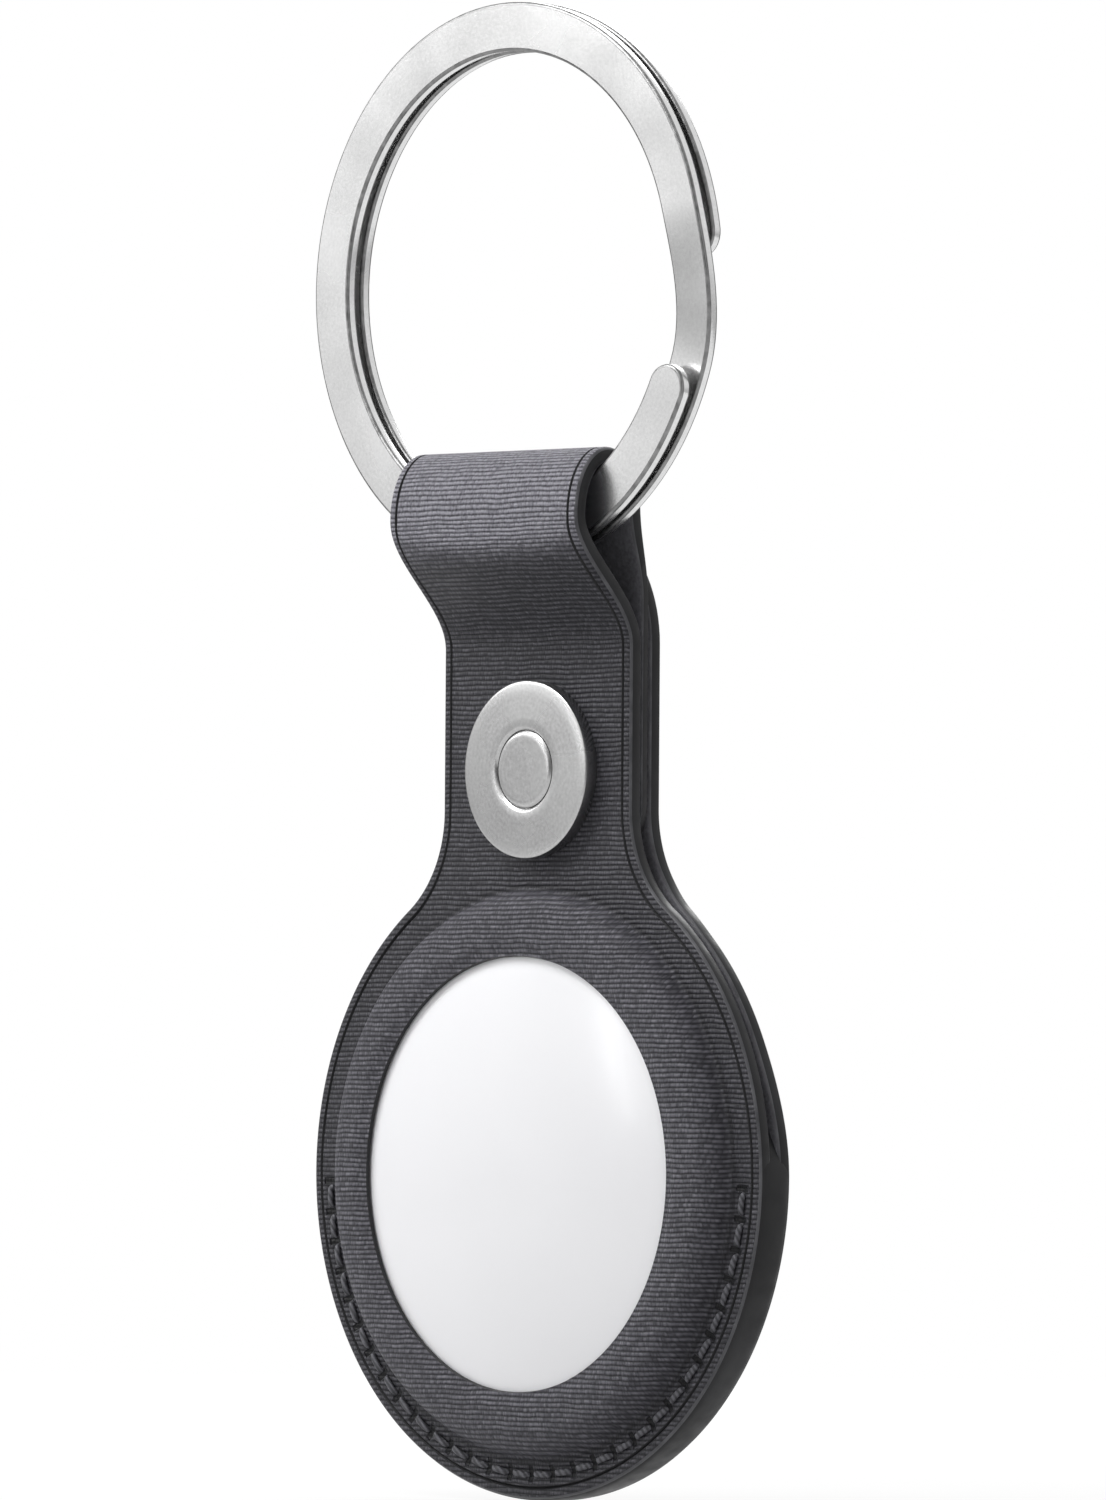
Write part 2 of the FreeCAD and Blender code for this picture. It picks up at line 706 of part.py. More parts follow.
def make_snap():
    """Cap, plug, socket and spring on the neck; stud and back cap on the flap."""
    height = f"{SNAP_HEIGHT} - {RING_TO_DISC}"
    top = f"({FACE} + cap_height)"
    seat_top = f"({FACE} + cap_seat_depth)"
    hole = f"({SOCKET_RADIUS} + fit_clear)"
    rim = "(button_radius - cap_edge)"
    cap = piece(new_body("snap_cap", FORWARDS, height), "snap_cap")
    revolve(cap, "cap_disc", [
        (hole, FACE),
        ("button_radius", FACE),
        ("button_radius", f"{top} - cap_edge", "90"),
        (rim, top),
        ("plug_radius + plug_gap", top),
        ("plug_radius + plug_gap", seat_top),
        (hole, seat_top),
    ])
    plug = piece(new_body("snap_plug", FORWARDS, height), "snap_plug")
    stem = "socket_inner_radius - fit_clear"
    revolve(plug, "plug_disc", [
        ("0", f"{seat_top} - plug_stem"),
        (stem, f"{seat_top} - plug_stem"),
        (stem, seat_top),
        ("plug_radius", seat_top),
        ("plug_radius", top),
        ("0", top),
    ])
    socket = piece(new_body("snap_socket", FORWARDS, height), "snap_socket")
    flange = f"({SOCKET_RADIUS} + socket_flange)"
    flange_back = f"({TAIL_BACK} - socket_flange_thick)"
    groove = "(spring_inner + 2 * spring_wire + fit_clear)"
    groove_half = "(spring_wire + fit_clear)"
    mouth = "(socket_inner_radius + socket_mouth)"
    mouth_front = f"({TAIL_BACK} + socket_lip)"
    revolve(socket, "socket_sleeve", [
        (mouth, flange_back),
        (flange, flange_back),
        (flange, TAIL_BACK),
        (SOCKET_RADIUS, TAIL_BACK),
        (SOCKET_RADIUS, seat_top),
        ("socket_inner_radius", seat_top),
        ("socket_inner_radius", f"spring_height + {groove_half}"),
        (groove, f"spring_height + {groove_half}"),
        (groove, f"spring_height - {groove_half}"),
        ("socket_inner_radius", f"spring_height - {groove_half}"),
        ("socket_inner_radius", f"{mouth_front} + fit_clear"),
        (mouth, mouth_front),
    ])
    spring = doc.addObject("Part::Torus", "snap_spring")
    bind(
        spring, Radius1="spring_inner + spring_wire", Radius2="spring_wire",
        Angle3="360 - spring_open_angle",
    )
    seat(spring, FORWARDS, f"{MIDDLE} - spring_height", height)
    piece(spring, "snap_spring")
    stud = piece(new_body("snap_stud", FORWARDS, height), "snap_stud")
    base = f"({LINING_BACK} - lining_thick)"
    bore = "(post_radius + post_clear)"
    collar = "(spring_height + spring_wire + fit_clear)"
    head_top = f"({collar} + stud_head_height)"
    revolve(stud, "stud_body", [
        (bore, base),
        ("stud_base", base),
        ("stud_base", f"{base} + stud_base_thick"),
        ("stud_neck", f"{base} + stud_base_thick"),
        ("stud_neck", collar),
        ("stud_head", f"{collar} + stud_head_chamfer"),
        ("stud_head", f"{head_top} - stud_head_chamfer"),
        ("stud_head - stud_head_chamfer", head_top),
        (bore, head_top),
    ])
    back = piece(new_body("snap_back_cap", FORWARDS, height), "snap_back_cap")
    back_top = f"(-{FACE} - back_cap_height)"
    revolve(back, "back_cap_disc", [
        ("0", back_top),
        (rim, back_top, "90"),
        ("button_radius", f"{back_top} + cap_edge"),
        ("button_radius", f"-{FACE}"),
        ("post_radius", f"-{FACE}"),
        ("post_radius", head_top),
        ("0", head_top),
    ])


def make_tag_case():
    """White shell with a lip and notches behind, and the cover whose tabs lock under the lip."""
    shell = piece(new_body("tag_shell", FORWARDS), "tag_shell")
    lip = f"({COVER} + cover_clear)"
    side = "(tag_radius - shell_wall)"
    dome_turn = f"(2 * atan(tag_crown / {WINDOW}) / 1deg)"
    inner_dome = f"({WINDOW} - window_lip / 4)"
    inner_turn = f"(2 * atan(tag_crown / {inner_dome}) / 1deg)"
    lip_inner = f"(lip_thick - {LIP})"
    groove = f"({COVER} + tab_reach + cover_clear)"
    revolve(shell, "shell_wall", [
        ("0", f"{HALF_TAG} - shell_wall"),
        ("0", HALF_TAG, f"-{dome_turn}"),
        (WINDOW, f"{HALF_TAG} - tag_crown", "-tag_shoulder_turn"),
        ("tag_radius", "tag_band / 2"),
        ("tag_radius", "-tag_band / 2", "-tag_back_turn"),
        (lip, f"-{LIP}"),
        (lip, lip_inner),
        (groove, lip_inner),
        (side, "-tag_band / 2"),
        (side, "tag_band / 2", "tag_shoulder_turn"),
        (inner_dome, f"{HALF_TAG} - tag_crown - shell_wall", inner_turn),
    ])
    notch = "(tab_half_width + cover_clear)"
    notch_in = f"({lip} - tab_reach)"
    notch_out = f"({groove} + cover_clear)"
    notch_sketch = new_sketch(shell, "notch_outline", "XY_Plane", f"{lip_inner} + tab_clear / 2")
    add_loop(notch_sketch, [
        (notch_in, f"-{notch}"),
        (notch_out, f"-{notch}"),
        (notch_out, notch),
        (notch_in, notch),
    ])
    notches = shell.newObject("PartDesign::Pocket", "notch")
    notches.Profile = notch_sketch
    bind(notches, Length="lip_thick + tab_clear")
    repeat(shell, "notches", [notches], "tab_count", "360")

    cover = piece(new_body("battery_cover", FORWARDS), "battery_cover")
    flat = f"({COVER} - cover_edge)"
    skirt = f"({COVER} - cover_wall)"
    back = f"-{HALF_TAG}"
    rim = f"-{COVER_RIM}"
    edge = f"-{LIP}"
    crown_turn = f"(2 * atan(cover_crown / {flat}) / 1deg)"
    tab_top = f"({TAB_FRONT} + tab_thick)"
    revolve(cover, "cover_dish", [
        ("0", back, crown_turn),
        (flat, rim, "cover_edge_turn"),
        (COVER, edge),
        (COVER, tab_top),
        (skirt, tab_top),
        (skirt, edge, "-cover_edge_turn"),
        (flat, f"{rim} + cover_wall", f"-{crown_turn}"),
        ("0", f"{back} + cover_wall"),
    ])
    turn = "(cover_twist_angle * 1deg)"
    tab_in = f"({skirt} + cover_wall / 2)"
    tab_out = f"({COVER} + tab_reach)"

    def tab_corner(out, across):
        x = f"({out}) * cos({turn}) - ({across}) * sin({turn})"
        y = f"({out}) * sin({turn}) + ({across}) * cos({turn})"
        return x, y

    tab = pad(cover, "tab", TAB_FRONT, "tab_thick", [
        tab_corner(tab_in, "-tab_half_width"),
        tab_corner(tab_out, "-tab_half_width"),
        tab_corner(tab_out, "tab_half_width"),
        tab_corner(tab_in, "tab_half_width"),
    ])
    repeat(cover, "tabs", [tab], "tab_count", "360")


def make_tag_inside():
    """Frame, coin cell and contacts, seal, board with its chips, and the speaker's parts."""
    wall_in = f"({CELL} + cell_side_clear)"
    wall_out = f"({wall_in} + frame_wall)"
    wall_back = f"(frame_wall_gap - {CELL_BACK})"
    frame = piece(new_body("tag_frame", FORWARDS), "tag_frame")
    revolve(frame, "frame_cup", [
        ("0", FLOOR_BACK),
        (wall_in, FLOOR_BACK),
        (wall_in, wall_back),
        (wall_out, wall_back),
        (wall_out, FLOOR_BACK),
        (FRAME_OUT, FLOOR_BACK),
        (FRAME_OUT, BOARD_BACK),
        ("0", BOARD_BACK),
    ])
    cell = piece(new_body("coin_cell", FORWARDS), "coin_cell")
    cell_back = f"-{CELL_BACK} + cell_gap"
    cell_front = f"({FLOOR_BACK} - contact_thick)"
    cell_rim = f"({CELL} - cell_step)"
    revolve(cell, "cell_can", [
        ("0", cell_back),
        (CELL, cell_back),
        (CELL, f"{cell_front} - cell_step_height"),
        (cell_rim, f"{cell_front} - cell_step_height"),
        (cell_rim, cell_front),
        ("0", cell_front),
    ])
    strips = []
    for index in range(SIZES["contact_count"]):
        angle = f"({FULL_TURN * index} / contact_count * 1deg)"
        strip = block(
            f"contact_{index}",
            f"{CELL} * contact_share * cos({angle}) - contact_long / 2",
            f"{MIDDLE} - {FLOOR_BACK}",
            f"{CELL} * contact_share * sin({angle}) - contact_wide / 2 - {RING_TO_DISC}",
            "contact_long", "contact_thick", "contact_wide",
        )
        strips.append(strip)
    contacts = doc.addObject("Part::Compound", "battery_contacts")
    contacts.Links = strips
    piece(contacts, "battery_contacts")

    seal = doc.addObject("Part::Torus", "cover_seal")
    seal_wire = f"(({COVER} - cover_wall - {wall_out}) / 2 - seal_clear)"
    bind(seal, Radius1=f"({COVER} - cover_wall + {wall_out}) / 2", Radius2=seal_wire)
    seat(seal, FORWARDS, f"{MIDDLE} + {COVER_RIM} - seal_inset - {seal_wire}", f"-{RING_TO_DISC}")
    piece(seal, "cover_seal")

    board = piece(new_body("circuit_board", FORWARDS), "circuit_board")
    pad(board, "board_disc", BOARD_BACK, "board_thick", (), [(BOARD_OUT,), (BOARD_IN,)])
    chips = []
    chip_drop = f"(tag_crown * ({CHIP_PLACE} + chip_reach) ^ 2 / {WINDOW} ^ 2)"
    chip_room = f"({HALF_TAG} - shell_wall - {chip_drop} - {BOARD_FRONT})"
    chip_thick = f"({chip_room} * chip_room_share)"
    for name, angle in CHIP_ANGLES.items():
        chip = block(
            f"{name}_chip",
            f"{CHIP_PLACE} * cos({angle} * 1deg) - {name}_long / 2",
            f"{MIDDLE} - {BOARD_FRONT} - {chip_thick}",
            f"{CHIP_PLACE} * sin({angle} * 1deg) - {name}_tall / 2 - {RING_TO_DISC}",
            f"{name}_long", chip_thick, f"{name}_tall",
        )
        chips.append(chip)
    group = doc.addObject("Part::Compound", "board_chips")
    group.Links = chips
    piece(group, "board_chips")

    yoke = piece(new_body("speaker_yoke", FORWARDS), "speaker_yoke")
    pad(yoke, "yoke_disc", BOARD_BACK, "yoke_floor", (), [("yoke_radius",)])
    magnet = piece(new_body("speaker_magnet", FORWARDS), "speaker_magnet")
    magnet_back = f"{BOARD_BACK} + yoke_floor"
    pad(magnet, "magnet_disc", magnet_back, "magnet_height", (), [("magnet_radius",)])
    coil = piece(new_body("voice_coil", FORWARDS), "voice_coil")
    coil_in = "(magnet_radius + coil_clear)"
    coil_out = f"({coil_in} + coil_wall)"
    coil_front = f"{HALF_TAG} - shell_wall - tag_crown * {coil_out} ^ 2 / {WINDOW} ^ 2 - coil_drop"
    pad(coil, "coil_ring", f"{coil_front} - coil_height", "coil_height", (), [(coil_out,), (coil_in,)])


make_split_ring()
make_strap_loop()
make_front_panel()
make_strap_tail()
make_back_panel()
make_rim_welt()
make_stitching()
make_snap()
make_tag_case()
make_tag_inside()
doc.recompute()

for thing in doc.Objects:
    if {"Invalid", "Error"} & set(thing.State):
        raise RuntimeError(f"{thing.Label} failed: {thing.State}")
for thing in pieces:
    if thing.Shape.isNull() or not thing.Shape.isValid():
        raise RuntimeError(f"{thing.Label} has no valid shape")

os.makedirs("parts", exist_ok=True)
for thing in pieces:
    thing.Shape.exportStep(f"parts/{thing.Label}.step")
    print(f"{thing.Label}: {len(thing.Shape.Solids)} solids, {thing.Shape.Volume:.2f} mm3")
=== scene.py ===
import math

import bmesh
import bpy
from mathutils import Matrix, Vector


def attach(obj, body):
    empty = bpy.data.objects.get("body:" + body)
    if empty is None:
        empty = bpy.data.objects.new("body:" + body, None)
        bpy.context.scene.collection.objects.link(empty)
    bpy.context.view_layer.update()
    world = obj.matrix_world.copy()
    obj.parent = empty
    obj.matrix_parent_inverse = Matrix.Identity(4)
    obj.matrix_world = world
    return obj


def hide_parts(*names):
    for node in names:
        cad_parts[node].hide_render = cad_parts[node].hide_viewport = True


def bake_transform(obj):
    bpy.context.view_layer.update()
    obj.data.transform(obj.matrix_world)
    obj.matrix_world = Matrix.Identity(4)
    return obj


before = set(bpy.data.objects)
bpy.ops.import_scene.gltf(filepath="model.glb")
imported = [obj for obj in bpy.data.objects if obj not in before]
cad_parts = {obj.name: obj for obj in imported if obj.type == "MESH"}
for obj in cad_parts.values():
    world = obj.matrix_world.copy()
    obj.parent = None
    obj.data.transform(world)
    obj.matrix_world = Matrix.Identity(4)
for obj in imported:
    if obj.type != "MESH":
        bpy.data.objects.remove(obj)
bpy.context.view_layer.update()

# Split ring. Flat spring-steel wire with rounded ends and tumbled edges, wound in two turns
# that lie a hair apart. Where the wire passes from the front turn to the back one it steps
# over beside its own ends. Its rounded edges are left duller, and are painted much darker than
# the faces as a painted dark reflection. Sizes are in millimetres.
WIRE_MIDDLE = 16.25
WIRE_WIDTH = 3.1
WIRE_THICK = 0.8
WIRE_EDGE = 0.2
WIRE_CUTS = 300
END_SIDES = 32
TURN_DEPTH = 0.61
WIRE_FROM, STEP_FROM, STEP_TO, WIRE_TO = -26.0, -344.0, -380.0, -710.5


def node(finish, kind, inputs, **settings):
    """A shader node whose inputs are set, or linked where they are given a socket."""
    made = finish.node_tree.nodes.new("ShaderNode" + kind)
    for name, setting in settings.items():
        setattr(made, name, setting)
    for name, given in inputs.items():
        if isinstance(given, bpy.types.NodeSocket):
            finish.node_tree.links.new(given, made.inputs[name])
        else:
            made.inputs[name].default_value = given
    return made


def calc(finish, operation, *values):
    """The result of one sum on sockets and numbers."""
    return node(finish, "Math", dict(enumerate(values)), operation=operation).outputs[0]


def weighed(finish, first, second):
    """The sum of two results, each given with its weight."""
    return calc(
        finish, "ADD", calc(finish, "MULTIPLY", *first), calc(finish, "MULTIPLY", *second)
    )


def own_place(finish):
    """The place on the object, in metres."""
    return node(finish, "TexCoord", {}).outputs["Object"]


def noise(finish, place, scale, detail):
    """Soft noise from 0 to 1."""
    inputs = {"Vector": place, "Scale": scale, "Detail": detail}
    return node(finish, "TexNoise", inputs).outputs["Fac"]


def new_finish(name, sockets):
    """A material of one shader, with the values that are the same all over on its sockets."""
    finish = bpy.data.materials.new(name)
    finish.use_nodes = True
    shader = finish.node_tree.nodes["Principled BSDF"]
    for socket, value in sockets.items():
        shader.inputs[socket].default_value = value
    return finish, shader


def feed(finish, shader, **sockets):
    """Link results to the shader's sockets, named with _ for a space."""
    for name, result in sockets.items():
        finish.node_tree.links.new(result, shader.inputs[name.replace("_", " ")])


def shades(finish, factor, stops):
    """A ramp of grey or coloured stops over a factor."""
    ramp = node(finish, "ValToRGB", {"Fac": factor})
    while len(ramp.color_ramp.elements) < len(stops):
        ramp.color_ramp.elements.new(1.0)
    for element, (place, colour) in zip(ramp.color_ramp.elements, stops):
        element.position = place
        element.color = (*colour, 1.0)
    return ramp.outputs["Color"]


def grey(value):
    return (value, value, value)


def raised(finish, height, distance, strength=1.0, normal=None):
    """A bump normal from a height over a distance in metres, on the face's or a given normal."""
    bump = node(finish, "Bump", {"Height": height, "Distance": distance, "Strength": strength})
    if normal:
        finish.node_tree.links.new(normal, bump.inputs["Normal"])
    return bump.outputs["Normal"]


def finished_piece(name, bm, finishes, sharp_angle):
    """An object at the origin from a mesh in millimetres, smooth up to an angle."""
    bmesh.ops.scale(bm, vec=(0.001, 0.001, 0.001), verts=bm.verts)
    bmesh.ops.recalc_face_normals(bm, faces=bm.faces)
    mesh = bpy.data.meshes.new(name)
    bm.to_mesh(mesh)
    bm.free()
    for finish in finishes:
        mesh.materials.append(finish)
    mesh.shade_smooth()
    mesh.set_sharp_from_angle(angle=math.radians(sharp_angle))
    piece = bpy.data.objects.new(name, mesh)
    bpy.context.scene.collection.objects.link(piece)
    return piece


def hard_piece(name, bm, finishes, sharp_angle):
    """A piece whose flat faces stay flat up to their rounded edges."""
    piece = finished_piece(name, bm, finishes, sharp_angle)
    piece.modifiers.new("even_faces", "WEIGHTED_NORMAL").keep_sharp = True
    return piece


def flat_map(bm):
    """Keep each corner's place on the flat blank as its UV, in millimetres."""
    layer = bm.loops.layers.uv.new("flat")
    for face in bm.faces:
        for corner in face.loops:
            corner[layer].uv = (corner.vert.co.x, corner.vert.co.z)


def verts_of(result, key="geom"):
    return [part for part in result[key] if isinstance(part, bmesh.types.BMVert)]


def eased(share):
    """A share from 0 to 1 that starts and ends softly."""
    share = min(max(share, 0.0), 1.0)
    return share * share * (3 - 2 * share)


wire_length = math.radians(WIRE_FROM - WIRE_TO) * WIRE_MIDDLE
bm = bmesh.new()
half_step = Matrix.Rotation(math.pi / END_SIDES, 4, "Z")
end_radius = WIRE_WIDTH / 2 / math.cos(math.pi / END_SIDES)
bmesh.ops.create_circle(
    bm, cap_ends=True, segments=END_SIDES, radius=end_radius, matrix=half_step
)
upright = Matrix.Rotation(math.pi / 2, 3, "X")
bmesh.ops.rotate(bm, verts=bm.verts, cent=(0, 0, 0), matrix=upright)
far_end = [vert for vert in bm.verts if vert.co.x > 0]
bmesh.ops.translate(bm, verts=far_end, vec=(wire_length, 0, 0))
lifted = bmesh.ops.extrude_face_region(bm, geom=bm.faces[:])
bmesh.ops.translate(bm, verts=verts_of(lifted), vec=(0, WIRE_THICK, 0))
bmesh.ops.translate(bm, verts=bm.verts, vec=(0, -WIRE_THICK / 2, 0))
bmesh.ops.recalc_face_normals(bm, faces=bm.faces)
rims = [edge for edge in bm.edges if abs(edge.verts[0].co.y - edge.verts[1].co.y) < 1e-6]
rounded = bmesh.ops.bevel(
    bm, geom=rims, offset=WIRE_EDGE, affect="EDGES", segments=3, profile=0.5, material=-1,
    clamp_overlap=True,
)["faces"]
# The rounded edges take the darker finish: a painted dark reflection.
for face in rounded:
    face.material_index = 1
for place in (0.0, wire_length):
    everything = bm.verts[:] + bm.edges[:] + bm.faces[:]
    bmesh.ops.bisect_plane(bm, geom=everything, plane_co=(place, 0, 0), plane_no=(1, 0, 0))
long_edges = [edge for edge in bm.edges if edge.calc_length() > wire_length / 2]
bmesh.ops.subdivide_edges(bm, edges=long_edges, cuts=WIRE_CUTS, use_grid_fill=True)
flat_map(bm)
for vert in bm.verts:
    turn = WIRE_FROM - math.degrees(vert.co.x / WIRE_MIDDLE)
    share = eased((STEP_FROM - turn) / (STEP_FROM - STEP_TO))
    depth = TURN_DEPTH * (2 * share - 1) + vert.co.y
    out = WIRE_MIDDLE + vert.co.z
    vert.co = (out * math.cos(math.radians(turn)), depth, out * math.sin(math.radians(turn)))

ring_steel, shader = new_finish("ring_steel", {"Metallic": 1.0, "Specular IOR Level": 0.5})
along = node(ring_steel, "UVMap", {}, uv_map="flat").outputs["UV"]
drawn = node(ring_steel, "Mapping", {"Vector": along, "Scale": (0.9, 14.0, 1.0)}).outputs["Vector"]
draw_lines = noise(ring_steel, drawn, 1.6, 4.0)
place = own_place(ring_steel)
tumbling = noise(ring_steel, place, 5200.0, 3.0)
cloud = noise(ring_steel, place, 160.0, 2.0)
satin = weighed(ring_steel, (draw_lines, 0.35), (tumbling, 0.65))
feed(
    ring_steel, shader,
    Base_Color=shades(ring_steel, satin, [(0.25, grey(0.66)), (0.75, grey(0.80))]),
    Roughness=shades(ring_steel, cloud, [(0.3, grey(0.2)), (0.7, grey(0.29))]),
    Normal=raised(ring_steel, satin, 0.00001, 0.4),
)
# Rounded edges: rougher steel, painted much darker than the faces as a painted dark reflection.
ring_edge_painted_reflection, shader = new_finish("ring_edge_painted_reflection", {"Metallic": 1.0})
knocks_and_dark_reflection = noise(ring_edge_painted_reflection, own_place(ring_edge_painted_reflection), 1800.0, 3.0)
feed(
    ring_edge_painted_reflection, shader,
    Base_Color=shades(ring_edge_painted_reflection, knocks_and_dark_reflection, [(0.3, grey(0.16)), (0.7, grey(0.3))]),
    Roughness=shades(ring_edge_painted_reflection, knocks_and_dark_reflection, [(0.3, grey(0.3)), (0.7, grey(0.42))]),
    Normal=raised(ring_edge_painted_reflection, knocks_and_dark_reflection, 0.00001, 0.4),
)
ring_wire = hard_piece("ring_wire", bm, [ring_steel, ring_edge_painted_reflection], 40.0)
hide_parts("split_ring")
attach(ring_wire, "key_ring")

# Front strap. One blank of woven twill bonded to a thin lining: a round front with a pressed
# dome round its window, a neck, and a strap that goes over the ring and down behind the neck.
# A crease runs inside its painted edge, and the window's lip is pressed down to the tag.
DISC_HEIGHT = -56.2
DISC_RADIUS = 20.5
MIDDLE_DEPTH = 3.35
STRAP_HALF = 8.6
NECK_FILLET = 7.7
CLOTH_THICK = 1.0
OUTER_THICK = 0.6
WINDOW_RADIUS = 13.8
LINING_FROM = 15.2
LINING_STEP = 0.3
FLANGE_RISE = 1.35
CROWN = (WINDOW_RADIUS, 3.35, 16.0, 3.1)
SHOULDER = (16.0, 3.1, 17.75, 1.75)
TOE = (17.75, 1.75, 18.2, FLANGE_RISE)
DOME_TURN = 68.0
DOME_FOOT = 19.4
SEAM_RADIUS = 18.95
SEAM_HALF = 0.55
SEAM_DEPTH = 0.14
SEAM_FADE = 1.5
LIP_FROM = 14.9
LIP_DROP = 0.36
EDGE_DROP = 0.2
EDGE_ROUND = ((0.05, 0.09), (0.08, 0.07), (0.12, 0.04))
EDGE_CREASE = ((0.34, 0.0), (0.11, -0.16), (0.11, 0.16), (0.06, 0.0))
UNDER_ROUND = 0.8
# Depths past which faces take the painted highlight, and the crease's painted shade.
HIGHLIGHT_FROM, CREASE_SHADE_FROM = 0.05, 0.1
SNAP_HEIGHT = -30.64
SNAP_HOLE = 3.35
CROWN_RINGS = [WINDOW_RADIUS, 14.0, 14.4, 14.8, LINING_FROM, 15.4, 15.7]
SHOULDER_STEPS, TOE_STEPS, FLANGE_STEPS = 10, 6, 8
DISC_STEPS, FILLET_STEPS, CORNER_STEPS = 96, 28, 24
DOME_STEPS, HOLE_STEPS = 216, 48
ROW_STEP, COLUMN_STEP, SIDE_COLUMNS = 0.45, 1.05, 7
# Finishes of the cloth's faces. The lighter rounded corners of the edge are a painted highlight.
WOVEN, PAINT_AND_CREASE_SHADE, LINED, HIGHLIT = range(4)


def arc_of(chord, turn):
    """Radius and first and last slope of an arc over a chord, which turns by so many degrees."""
    run, rise = chord[2] - chord[0], chord[3] - chord[1]
    radius = math.hypot(run, rise) / 2 / math.sin(math.radians(abs(turn)) / 2)
    slope = math.atan2(rise, run)
    half = math.radians(turn) / 2
    return radius, slope - half, slope + half


def dome_at(out):
    """Rise of the pressed cloth above the middle plane, and its slope, at a radius."""
    if out <= CROWN[2]:
        slope = (CROWN[3] - CROWN[1]) / (CROWN[2] - CROWN[0])
        return CROWN[1] + slope * (out - CROWN[0]), math.atan(slope)
    if out <= SHOULDER[2]:
        radius, first, _ = arc_of(SHOULDER, -DOME_TURN)
        slope = math.asin(math.sin(first) - (out - SHOULDER[0]) / radius)
        return SHOULDER[1] + radius * (math.cos(slope) - math.cos(first)), slope
    if out <= TOE[2]:
        radius, first, _ = arc_of(TOE, DOME_TURN)
        slope = math.asin(math.sin(first) + (out - TOE[0]) / radius)
        return TOE[1] - radius * (math.cos(slope) - math.cos(first)), slope
    return FLANGE_RISE, 0.0


def dome_rings():
    """Radii of the rings that carry the dome, close together where it turns."""
    rings = CROWN_RINGS[:]
    for chord, turn, count in ((SHOULDER, -DOME_TURN, SHOULDER_STEPS), (TOE, DOME_TURN, TOE_STEPS)):
        radius, first, last = arc_of(chord, turn)
        for step in range(count):
            slope = first + (last - first) * step / count
            rings.append(chord[0] + radius * abs(math.sin(slope) - math.sin(first)))
    flange = (DOME_FOOT - TOE[2]) / FLANGE_STEPS
    return rings + [TOE[2] + flange * step for step in range(FLANGE_STEPS + 1)]


